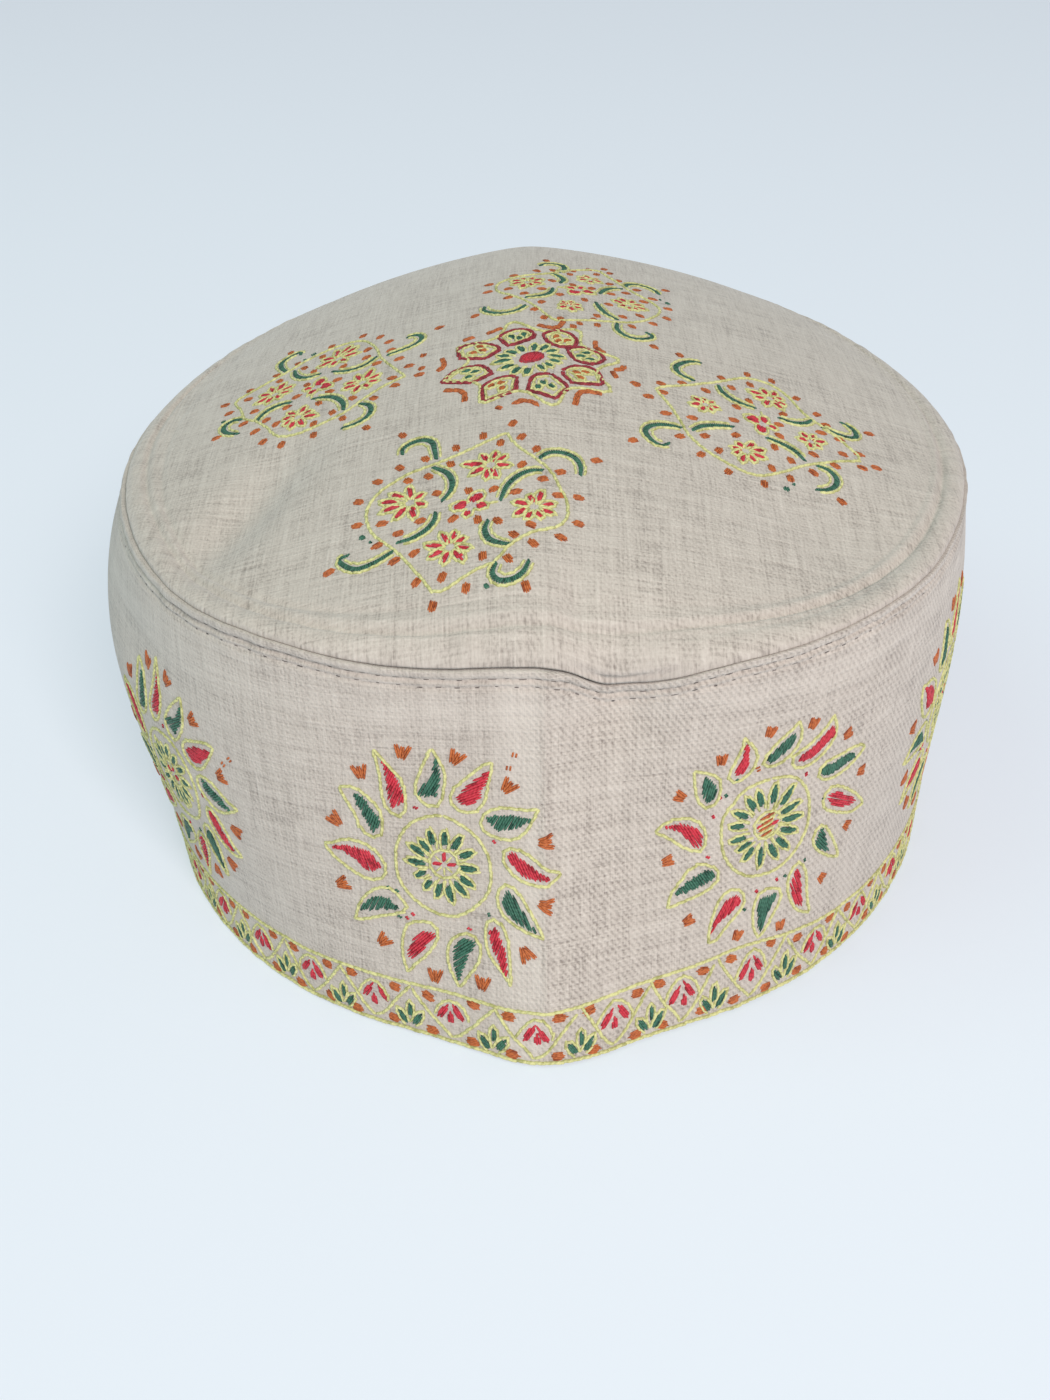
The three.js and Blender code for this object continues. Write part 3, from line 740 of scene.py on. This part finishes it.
def outlined(needle, chart_place, sewn, behind=0.2, past=0.15, wide=2.0, width=0.56, step=1.4, reach=1.9):
    """A sewn leaf's own outline, which starts behind it, runs round its tip and comes back."""
    base, ahead = sewn
    edge = leaf(base - ahead * behind, ahead * (1 + behind + past), wide)
    needle.line(chart_place([*edge[4:], *edge[:4]]), width=width, step=step, reach=reach)


sun_pale, sun_red, sun_green, sun_claws = (Needle(on_band, seed) for seed in (11, 12, 13, 14))
for number, (along, height, chart, turn, size) in enumerate(SUNS):
    phase = 0 if turn == 0 else number * 1.9

    def here(points):
        if not phase:
            return np.array(points) + (along, height)
        return placed(points, (along, height), turn, size, phase)

    for colour, heading, outline, body in chart["petals"]:
        sun_pale.line(here(outline + outline[:1]))
        (sun_red if colour == "red" else sun_green).fill(here(body), heading + turn)
    sun_pale.line(here(chart["ring"]), closed=True)
    for base, tip in chart["flower"]:
        base, tip = np.array(base) * 0.88, np.array(tip) * chart["flower size"]
        petal = sewn_leaf(sun_green, here, base, tip, 1.15, turn)
        outlined(sun_pale, here, petal, 0.25, 0.16, 1.75, 0.54, 1.4, 1.8)
    middle = [(2.9 * cos(t) + 0.1, 2.9 * sin(t) + 0.5) for t in np.linspace(0, 2 * pi, 9)[:-1]]
    sun_pale.line(here(middle), closed=True, width=0.58)
    for spoke in range(8):
        t = radians(spoke * 45 + 92)
        ends = here([(0.5 * cos(t), 0.5 * sin(t) + 0.3), (2.2 * cos(t), 2.2 * sin(t) + 0.4)])
        if spoke in (0, 2, 6):
            sun_red.stitch(*ends, 0.6, 0.34)
            sun_red.stitch(*(ends + 0.25), 0.5)
        elif spoke != 4 or chart is SUN_ONE:
            sun_pale.stitch(*ends)
    if chart is SUN_TWO:
        for k, rise in enumerate(np.linspace(-1.7, 2.3, 8)):
            sides = sun_pale.chance.uniform(1, 2.2, 2)
            ends = here([(-sides[0], rise - 0.5), (sides[1], rise + 0.5)])
            (sun_claws if k % 2 else sun_pale).stitch(*ends, 0.5, 0.46)
    spread, claw_size = (27, 1) if chart is SUN_ONE else (16.2, 0.74)
    for x, y, heading in chart["claws"]:
        palm = np.array([cos(radians(heading)), sin(radians(heading))])
        for offset, length in ((-0.75, 3.4), (0, 2.5), (0.75, 3.1)):
            turned = radians(heading + offset * spread)
            finger = np.array([cos(turned), sin(turned)])
            root, half = (x, y) + square_to(palm) * offset * claw_size, finger * length * claw_size / 2
            for jog in (-0.21, 0.21):
                strand = root + square_to(finger) * jog
                sun_claws.stitch(*here([strand - half, strand + half]), 0.5, 0.38)
    for x, y, heading in chart["strays"]:
        sun_claws.drop(here([(x, y)])[0], heading + turn, 1.5, 0.8, 2)
    for needle, specks in ((sun_red, "red specks"), (sun_green, "green specks")):
        for speck in chart[specks]:
            needle.drop(here([speck])[0], 35 + turn, 1, 0.5, 2)
sun_pale.piece("sun_outlines", PALE, "band_wool")
sun_red.piece("sun_reds", RED, "band_wool")
sun_green.piece("sun_greens", GREEN, "band_wool")
sun_claws.piece("sun_claws", ORANGE, "band_wool")

# The border above the rim: two pale yellow lines with a zigzag between them, a green sprig of three
# leaves under each of its upper corners, a red one over each lower corner, and orange dabs beside
# them. It was drawn freehand, so that its line climbs and its repeats differ a little.
BORDER_LINE = [(-287.7, 10.4), (-210, 10.8), (-160, 10.2), (-110, 10.3), (-85, 10.6), (-60, 10.9),
               (-40, 10.9), (-20, 10.8), (-8, 10.5), (2, 10.7), (10, 11.4), (20, 12), (30, 12.9),
               (37, 13.8), (45, 13), (52, 11.9), (60, 10.9), (75, 10.3), (110, 10.3), (160, 10.9),
               (210, 10.4), (260, 10.8)]
# The upper corners that the hand set along the front. Behind them they follow at an even pitch.
FRONT_CORNERS = [-99.6, -85.2, -70.4, -55.6, -41.1, -26.2, -10.1, 5.7, 19.2, 32.7, 48.5, 63.4, 78.6, 93.2]
CORNER_PITCH, EDGE_HEIGHT, BORDER_TALL, EDGE_WIDE = 14.9, 0.75, 10.5, 0.72


def border_top(along):
    line = np.array(BORDER_LINE + [(BORDER_LINE[0][0] + GIRTH, BORDER_LINE[0][1])])
    return np.interp((along - line[0, 0]) % GIRTH + line[0, 0], line[:, 0], line[:, 1])


last_corner = FRONT_CORNERS[0] + GIRTH
repeats = round((last_corner - FRONT_CORNERS[-1]) / CORNER_PITCH)
rest = np.linspace(FRONT_CORNERS[-1], last_corner, repeats + 1)[1:-1]
corners = np.concatenate([FRONT_CORNERS, rest, [last_corner]])
rim_pale, rim_red, rim_green, rim_orange = (Needle(on_band, seed) for seed in (21, 22, 23, 24))
hand = np.random.default_rng(25)
spans = np.arange(0, GIRTH, 6) - GIRTH / 2
for level, wander in ((border_top(spans), 0.12), (EDGE_HEIGHT, 0.1)):
    edge = np.stack([spans, level + hand.uniform(-wander, wander, len(spans))], -1)
    rim_pale.line(np.concatenate([edge, edge[:1] + (GIRTH, 0)]), width=EDGE_WIDE)
for left, right in zip(corners[:-1], corners[1:]):
    pitch, middle = right - left, (left + right) / 2 + hand.uniform(-0.3, 0.3)
    tall = border_top(middle) / BORDER_TALL
    wander = hand.uniform(-0.35, 0.35, (40, 2))

    def spot(x, z, k):
        return np.array([middle + x, z * tall]) + wander[k]

    low, high_left, high_right = spot(0, 1.5, 1), spot(-pitch / 2, 10, 2), spot(pitch / 2, 10, 3)
    rim_pale.line([high_left, spot(-pitch * 0.28, 5.6, 4), spot(-pitch * 0.12, 2.9, 5), low])
    rim_pale.line([low, spot(pitch * 0.13, 3, 6), spot(pitch * 0.27, 5.4, 7), high_right])
    # The red sprig stands over the lower corner, under an arch.
    arch = ((-3.4, 5.2, 8), (-2.6, 7.4, 9), (0, 9.4, 10), (2.7, 7.6, 9), (3.3, 5.4, 11))
    rim_pale.line([spot(*place) for place in arch], width=0.6)
    for base, tip, k in (((-2.7, 4.8), (-0.2, 8.4), 12), ((2.7, 4.9), (0.4, 8.4), 13),
                         ((0.2, 3.9), (0.1, 6.5), 14)):
        sewn_leaf(rim_red, np.array, spot(*base, k), spot(*tip, k), 0.95, gap=0.36)
    # The green sprig stands under the upper corner on the right, each leaf in its own outline.
    green = spot(pitch / 2, 0, 15)
    for base, tip, wide in (((-0.5, 1.7), (-2.4, 4.4), 0.95), ((0.1, 3.2), (0.2, 6.4), 0.8),
                            ((0.6, 1.8), (2.6, 4.7), 0.95)):
        root, end = (green + np.array(place) * (1, tall) for place in (base, tip))
        sprig = sewn_leaf(rim_green, np.array, root, end, wide)
        outlined(rim_pale, np.array, sprig, 0.1, 0.22, wide + 1, 0.58, 1.5, 1.9)
    for x, z, k in ((-4.6, 9.1, 16), (4.5, 9.2, 17), (-3.9, 1.9, 18), (4.1, 1.9, 19)):
        rim_orange.drop(spot(x, z, k), hand.uniform(-28, 12), 3.1, 1.7, 5)
rim_pale.piece("border_outlines", PALE, "band_wool")
rim_red.piece("border_reds", RED, "band_wool")
rim_green.piece("border_greens", GREEN, "band_wool")
rim_orange.piece("border_dabs", ORANGE, "band_wool")

# The four diamonds on the crown, in front, behind, left and right of its middle: a pale yellow
# diamond in silky thread that holds five red flowers, with green scrolls in it and out of its sides,
# and orange drops all round. Up points to the middle. The right one was drawn a little narrower.
FRONT_DIAMOND = {
    "diamond": [(1.5, 19.9), (-3.1, 16.2), (-6.9, 13.5), (-10.6, 11.2), (-14.6, 9), (-17.7, 6.2),
        (-19.8, 3.5), (-20.1, 0.4), (-19.4, -2.3), (-17.7, -5.4), (-15.4, -7.9), (-11.5, -10.6),
        (-8.5, -13.5), (-5, -16.7), (-1.3, -20), (1.9, -17.7), (4.8, -15.2), (7.5, -13.7), (8.5, -10.8),
        (10.8, -7.9), (13.5, -5.2), (16, -3.5), (17.3, -1.2), (17, 1.5), (16, 4.2), (14.2, 6.9),
        (12.7, 9.6), (10.8, 11.7), (7.9, 13.5), (4.6, 15.8), (2.7, 18.1), (1.5, 19.9)],
    "flowers": [
        ((0.8, 10.4), [(-1.7, 13.8), (1.2, 14.4), (3.5, 13.1), (4.8, 10), (2.7, 6.5), (0.4, 6.2),
         (-2.9, 7.9), (-4.8, 11.2)]),
        ((-12.1, 1), [(-14, 5.4), (-17.1, 3.5), (-18.3, 1.3), (-17.1, -1.5), (-13.5, -3.5), (-9.6, -3.1),
         (-8.5, 0.4), (-10.2, 3.8)]),
        ((11.2, 0.2), [(11.3, 5), (14.6, 2.7), (15.3, -0.2), (13.7, -2.3), (11, -3.5), (8.5, -3.1),
         (7.1, 0.4), (9.2, 3.1)]),
        ((-1.3, -10.2), [(-3.7, -6.5), (-1, -6.3), (1.3, -7.9), (2.7, -10.8), (1.9, -13.8), (-1.9, -14.2),
         (-5, -12.5), (-6.3, -9.4)]),
    ],
    "scrolls": [
        [(-10.2, 13.1), (-11.2, 15.6), (-12.5, 17.9), (-14.6, 18.8), (-16.7, 18.1), (-17.9, 16.5),
         (-17.5, 14.8)],
        [(-10.2, 10.6), (-7.3, 9), (-5.8, 6.5), (-5.5, 3.8), (-6.2, 1.5)],
        [(-6.2, -1.5), (-5.8, -3.5), (-6.7, -5.8), (-8.8, -7.7), (-11.3, -8.8)],
        [(-11.9, -11), (-14.6, -13.5), (-17.7, -15), (-20.2, -14), (-21.7, -12.3), (-20.2, -11.5)],
        [(10.4, 10.2), (8.1, 9.2), (6, 7.1), (4.8, 4.4), (4.8, 0.8)],
        [(9.4, 13.5), (10.8, 15.8), (13.1, 16.9), (15.4, 16.5), (16.9, 14.6), (17.3, 12.1)],
        [(4.3, -4.4), (4.2, -6.5), (5.4, -8.8), (7.7, -9.6), (9.2, -9.6)],
        [(7.5, -14), (7.3, -16), (8.8, -17.3), (11, -16.7), (12.5, -14.8), (13.1, -12.3)],
    ],
    "drops": [(1.5, 22.9), (-2.9, 19.4), (4.6, 18.8), (1.2, 16.9), (-7.1, 16.2), (-19.8, 21), (-12.4, 13.1),
        (-7, 11.5), (-17.1, 10.8), (-20.6, 7.3), (-22.7, 2.3), (-20.4, -4.2), (-15, -9.6), (-22.9, -15.2),
        (-11, -13.1), (-5.6, -17.7), (-1.3, -16.7), (-1, -22.3), (3.7, -19.2), (13.7, -17.3), (9.4, -12.7),
        (13.3, -8.3), (17.7, -5.2), (19.6, -0.8), (17.7, 5.8), (19.2, 17.5), (13.7, 11.2), (8.3, 15.8),
        (-10.8, 8.1), (-14.6, 6.9), (-7.9, 3.5), (-1.9, 3.7), (2.7, 3.7), (6.5, 10.6), (10.8, 7.9),
        (6.9, 3.1), (14.2, 4.8), (12.1, -4.2), (9.6, -7.3), (6, -4.4), (2.3, -4), (-2.3, -3.3),
        (-8.3, -3.5), (-15.6, -4.2), (-11.7, -6.7), (-7.7, -11.2), (4.8, -12.5)],
}
RIGHT_DIAMOND = {
    "diamond": [(-0.5, 21), (-5, 17.5), (-9.5, 14.5), (-13, 12.2), (-16, 9), (-18, 5), (-18.7, 1),
        (-17.7, -2.5), (-14, -6), (-9.5, -9.5), (-6.5, -13), (-3, -17), (-0.5, -20), (3, -17), (6, -13.5),
        (10, -8), (15, -4), (17.5, -1), (18, 2), (16.5, 6), (12.5, 9), (9, 12), (5, 16), (1.5, 20),
        (-0.5, 21)],
    "flowers": [
        ((0, 11), [(-1.8, 14.3), (1.5, 14), (-3.3, 11.7), (2.3, 11.8), (-2.4, 9.3), (1.9, 9.3), (-0.3, 8)]),
        ((-12, 1.5), [(-14.8, 3.3), (-12.9, 4.4), (-10.2, 3.8), (-16.3, 1.3), (-8, 0.8), (-14.5, -1.2),
         (-11.8, -2.6), (-9, -1.8)]),
        ((11.6, -0.5), [(11.3, 4.3), (14.6, 2), (15.6, -0.9), (13.7, -3), (11, -4.2), (8.7, -3.8),
         (7.5, -0.3), (9.2, 2.4)]),
        ((-0.3, -10), [(-0.8, -7), (2.2, -7.8), (-3.3, -9.9), (2.8, -10.5), (-2, -12), (1.4, -13)]),
    ],
    "scrolls": [
        [(-11.3, 14.2), (-12, 17), (-14, 19.2), (-16.5, 19.8), (-18.7, 18.2), (-19.3, 16.2), (-17.8, 14.9)],
        [(-10.8, 12), (-8.5, 10.8), (-7, 8.8), (-6, 6.8), (-5.3, 5.2)],
        [(-4.5, -1.5), (-4.6, -4.5), (-5.5, -7), (-7.8, -9.2)],
        [(-8.3, -11.8), (-8.6, -14), (-10.5, -15.8), (-13, -16), (-15, -14.8), (-16, -12.9)],
        [(9.5, 9.6), (7.5, 8.6), (5.5, 6.5), (4.8, 4), (5, 1.5)],
        [(8.6, 14.5), (9.5, 17.5), (12, 19), (14.5, 18.5), (17, 17), (17.7, 15)],
        [(5, -3.5), (5, -6), (6.5, -8.5), (8.5, -9.5)],
        [(7, -12), (6.3, -15), (7, -17.8), (8.7, -18.6), (11, -17.5), (12, -15)],
    ],
    "drops": [(-21, 21.5), (-8, 18), (-4, 22), (-0.8, 25), (2.7, 20.3), (-14.3, 13.5), (-6.5, 13),
        (-18.3, 8.8), (-11.7, 9.4), (-15.2, 6), (-20.7, 3.4), (-8, 4.3), (-2.8, 5.3), (-19.4, -3.4),
        (-13.8, -4), (-6.7, -3.2), (-2, -3.8), (2.2, -3.6), (-15, -7.8), (-9.2, -6.8), (-4.7, -10.5),
        (-11, -11.5), (-6.3, -15), (-17, -17.8), (-1, -16.3), (4.3, -15.5), (1.5, -19.5), (-1, -23),
        (-3.2, -20.2), (4.5, -11.8), (-0.5, 19.5), (6, 16.3), (5.8, 11.5), (13.5, 10), (10.3, 7.2),
        (2.7, 5), (7, 3), (18.2, 19.5), (19, 5.5), (14.5, 4.3), (20.2, 0.4), (16.3, -5.1), (7, -4),
        (12, -10), (8.5, -12.5), (12, -20.7)],
}
# Each diamond's middle, turn and chart.
DIAMONDS = [(-10.8, -48.4, -13.5, FRONT_DIAMOND), (44.7, -12.7, 76.5, RIGHT_DIAMOND),
            (-45.3, 5.5, -103.5, FRONT_DIAMOND), (9.9, 36.7, 166.5, RIGHT_DIAMOND)]
# The leaves of the small flower in a diamond's middle, and the green dots: place and size.
MIDDLE_LEAVES = [((0.1, 0.4), (0.3, 3), 2.2), ((-0.8, -0.2), (-3.5, -0.3), 1.9),
                 ((0.7, -0.5), (2.9, -0.7), 1.3), ((0, -1.5), (0, -3.2), 1.2)]
GREEN_DOTS = [((-18.5, -7.5), 1.5), ((-16.5, -8.7), 0.7), ((7.1, -18.7), 1.2)]


def run_of(curve):
    """The way along a curve and square to it at each of its places."""
    ahead = np.gradient(curve, axis=0)
    ahead = ahead / np.linalg.norm(ahead, axis=1, keepdims=True)
    return ahead, square_to(ahead)


top_pale, top_red, top_green, top_orange, top_maroon = (Needle(on_crown, seed) for seed in range(31, 36))
for number, (x, y, turn, chart) in enumerate(DIAMONDS):
    phase = number * 2.3 if number > 1 else 0

    def there(points):
        return placed(points, (x, y), turn, 1, phase)

    top_pale.line(there(chart["diamond"]))
    for middle, tips in chart["flowers"]:
        middle = np.array(middle)
        for tip in tips:
            petal = sewn_leaf(top_red, there, middle + (tip - middle) * 0.2, tip, 0.9, turn, 0.4)
            outlined(top_pale, there, petal, 0.175, 0.15, 2, 0.64, 1.5, 2)
    for base, tip, wide in MIDDLE_LEAVES:
        outlined(top_pale, there, sewn_leaf(top_red, there, base, tip, wide, turn, 0.36), 0.2, 0.35, wide + 1)
    top_pale.line(there([(2.6, -0.2), (3.6, 0.2), (4.6, 0.4)]), width=0.52)
    for line in chart["scrolls"]:
        curve = smooth(there(line), pitch=0.4)
        ahead, side = run_of(curve)
        half = (0.32 + 0.3 * np.sin(np.linspace(0.25, pi - 0.1, len(curve))))[:, None]
        for start, end in zip(curve - side * half - ahead * 0.35, curve + side * half + ahead * 0.35):
            top_green.stitch(start, end, 0.46)
        for out in (1, -1):
            top_pale.line((curve + side * (half + 0.42) * out)[::3], width=0.58, step=1.5, reach=2)
    for drop in chart["drops"]:
        place = there([drop])[0]
        outward = np.degrees(np.arctan2(place[1] - y, place[0] - x))
        top_orange.drop(place, outward, 2.8, 1.35, 4)
    for dot, size in GREEN_DOTS:
        top_green.drop(there([dot])[0], 40 + turn, size, size * 0.7, 3)

# The medallion in the middle of the crown: a red oval eye in a ring of green petals, and eight
# pointed petals framed in maroon, which hold in turn a green and an orange sprig. A pale yellow
# star runs round them, with orange brackets in its hollows. It is sewn in the same silky thread.
MEDALLION = (-0.2, -2.5)
MAROON = thread("maroon_silk", (0.34, 0.035, 0.05), (0.13, 0.01, 0.016))
FRAMES = [
    ("green", [(-18, -4.4), (-16.5, -1.7), (-14.4, 0), (-9.8, -0.7), (-8.6, -3), (-7.5, -4.8), (-11.7, -7),
     (-18, -4.4)]),
    ("orange", [(-15.4, 9), (-14.5, 4.2), (-9.2, 1.9), (-6, 5.3), (-8.4, 8), (-12.2, 10.4), (-15.4, 9)]),
    ("green", [(-7, 10.6), (-4.5, 5.8), (-2.2, 7.4), (0.4, 9), (0.6, 12), (-2, 13.6), (-5, 12.9),
     (-7, 10.6)]),
    ("orange", [(2.2, 11.2), (3, 8), (5, 6), (8.6, 6.7), (9.3, 9.5), (8.6, 12.6), (5, 14.2), (2.2, 11.2)]),
    ("green", [(7, 5.5), (8.5, 1), (11, 0.2), (12.6, 0.2), (14.9, 3.5), (13.4, 5.8), (9.8, 7.4), (7, 5.5)]),
    ("orange", [(6, -4), (8, -1.5), (12.2, -1.2), (13.7, -4), (14, -7.5), (8.2, -8.6), (6, -5.4), (6, -4)]),
    ("green", [(3.8, -5.8), (7.3, -10.3), (4.5, -15.4), (2.3, -13.8), (-0.7, -13.2), (-0.3, -9),
     (0.3, -6.8), (3.8, -5.8)]),
    ("orange", [(-2.8, -7.3), (-3.1, -12.8), (-9.2, -15.4), (-9.9, -10), (-8.8, -8.2), (-5.5, -6.7),
     (-2.8, -7.3)]),
]
EYE_PETALS = [((0.4, 4), (0.8, 6.6)), ((2, 4.2), (3.4, 6.6)), ((3.4, 3.6), (5.4, 4.6)),
    ((4, 2.2), (6.8, 1.4)), ((4, 0), (6, -1)), ((2.9, -1.8), (4.4, -3.2)), ((1.7, -2.7), (2.4, -5)),
    ((-0.6, -4.2), (-1.2, -7.2)), ((-2.7, -4), (-3.9, -6.6)), ((-4, -2.6), (-6.4, -4)),
    ((-4.8, -0.2), (-8, -0.7)), ((-4.8, 1.2), (-7.2, 2.3)), ((-3.5, 2.3), (-5.4, 3.9)),
    ((-2, 3.4), (-2.8, 5.6))]
BRACKETS = [[(-17.5, -7.7), (-13.4, -9.6), (-13, -14.6)], [(-7, -17.8), (-4.9, -18.7)],
    [(-3.4, -17.6), (-2.9, -16.5), (-0.6, -16.6), (1.2, -17.6), (0.8, -18.8)],
    [(8.3, -16.6), (9.5, -11.2), (14, -11.2)], [(15.8, -1.2), (17.3, -4.8)],
    [(16.4, -0.8), (18.4, 0.4), (18.2, 2.6)], [(13, 11.4), (13.2, 7.2), (16, 6)],
    [(1, 15.8), (5, 14.8), (6.6, 19.2)], [(-6, 15.4), (-9.4, 13.4)],
    [(-18.5, 6.4), (-17.7, 2.4), (-19.8, 0.2)], [(-11.8, 13.4), (-14.6, 12.2)]]
SPRIG = [((-2.2, 0), (0.2, 0)), ((-0.6, 1), (1.6, 1.7)), ((-0.6, -1), (1.6, -1.7))]
OUTER_DROPS = [(-22.5, 10, 80), (-22.5, 4, 70), (20.6, -5, 70), (22.6, -8.8, 60), (10, 19.2, 90),
               (13, 22.6, 85)]
EYE_LONG, EYE_WIDE, EYE_TURN, STAR_POINT, STAR_HOLLOW = 2.9, 1.75, 0.7, 18.2, 12.9


def around(points):
    return np.array(points, float) + MEDALLION


def bar(needle, points, half, rows):
    """A thick line: rows of stitches laid side by side along it."""
    curve = smooth(points, pitch=0.3)
    side = run_of(curve)[1]
    for offset in np.linspace(-half, half, rows):
        needle.line(curve[::4] + side[::4] * offset, width=0.56, reach=2.2)


eye = [(EYE_LONG * cos(t) * cos(EYE_TURN) - EYE_WIDE * sin(t) * sin(EYE_TURN),
        EYE_LONG * cos(t) * sin(EYE_TURN) + EYE_WIDE * sin(t) * cos(EYE_TURN) + 0.4)
       for t in np.linspace(0, 2 * pi, 13)[:-1]]
top_red.fill(around(eye), 70, 0.34)
top_maroon.line(around(eye), closed=True, width=0.52)
for base, tip in EYE_PETALS:
    outlined(top_pale, around, sewn_leaf(top_green, around, np.array(base) * 0.85, tip, 1.15))
star = []
for point in range(8):
    # A hollow of the star, and then its point, which a place on each side keeps sharp.
    hollow, tip = radians(point * 45 - 99.3), radians(point * 45 - 76.8)
    for turn, far in ((hollow, STAR_HOLLOW), (tip - 0.06, 0.97 * STAR_POINT), (tip, STAR_POINT),
                      (tip + 0.06, 0.97 * STAR_POINT)):
        star.append((far * sin(turn), -far * cos(turn)))
top_pale.line(around(star), closed=True, width=0.8)
for colour, frame_line in FRAMES:
    corners = np.repeat(frame_line, 2, axis=0)
    middle = np.mean(frame_line[:-1], axis=0)
    bar(top_maroon, around(corners), 0.2, 2)
    top_pale.line(around(middle + (corners - middle) * 0.78), width=0.6)
    outward = middle / np.hypot(*middle)
    axes = np.stack([outward, square_to(outward)])
    for base, tip in SPRIG:
        needle = top_green if colour == "green" else top_orange
        sprig = sewn_leaf(needle, around, middle + base @ axes, middle + tip @ axes, 1.1, gap=0.36)
        outlined(top_pale, around, sprig, 0.15, 0.2)
for line in BRACKETS:
    bar(top_orange, around(line), 0.32, 3)
for x, y, heading in OUTER_DROPS:
    top_orange.drop(around([(x, y)])[0], heading, 2.3, 1.2, 4)
top_pale.piece("crown_outlines", PALE, "crown_wool")
top_red.piece("crown_reds", RED, "crown_wool")
top_green.piece("crown_greens", GREEN, "crown_wool")
top_orange.piece("crown_drops", ORANGE, "crown_wool")
top_maroon.piece("medallion_frames", MAROON, "crown_wool")

# A plain pale floor under the cap, a soft warm lamp like a window in front on the right, a wide
# weak one from the upper left, and a pale room all round. The floor is not part of the cap.
FLOOR_REACH, ROOM_COLOUR, ROOM_LIGHT = 9, (0.82, 0.89, 0.93, 1), 0.46
LAMPS = [("window", (0.48, -1.1, 0.94), 0.45, 16, (1, 0.91, 0.885)),
         ("fill", (-0.8, -0.1, 1.35), 1.0, 5.6, (0.66, 1, 0.88))]
floor_mesh = bpy.data.meshes.new("pale_floor")
floor_corners = [(x * FLOOR_REACH, y * FLOOR_REACH, 0) for x, y in ((-1, -1), (1, -1), (1, 1), (-1, 1))]
floor_mesh.from_pydata(floor_corners, [], [(0, 1, 2, 3)])
floor_paint, _, _ = new_material("pale_paper", Base_Color=(0.4, 0.42, 0.45, 1), Roughness=0.9,
                                 Emission_Color=(0.84, 0.91, 1, 1), Emission_Strength=0.47)
floor_mesh.materials.append(floor_paint)
floor = bpy.data.objects.new("pale_floor", floor_mesh)
bpy.context.scene.collection.objects.link(floor)
for name, place, size, power, tint in LAMPS:
    lamp = bpy.data.lights.new(name, "AREA")
    lamp.size, lamp.energy, lamp.color = size, power, tint
    light = bpy.data.objects.new(name, lamp)
    light.location = place
    light.rotation_euler = (Vector((0, 0, 0.06)) - Vector(place)).to_track_quat("-Z", "Y").to_euler()
    bpy.context.scene.collection.objects.link(light)
world = bpy.data.worlds.new("pale_room")
bpy.context.scene.world = world
world.use_nodes = True
world.node_tree.nodes["Background"].inputs[0].default_value = ROOM_COLOUR
world.node_tree.nodes["Background"].inputs[1].default_value = ROOM_LIGHT
bpy.context.scene.view_settings.view_transform = "Standard"
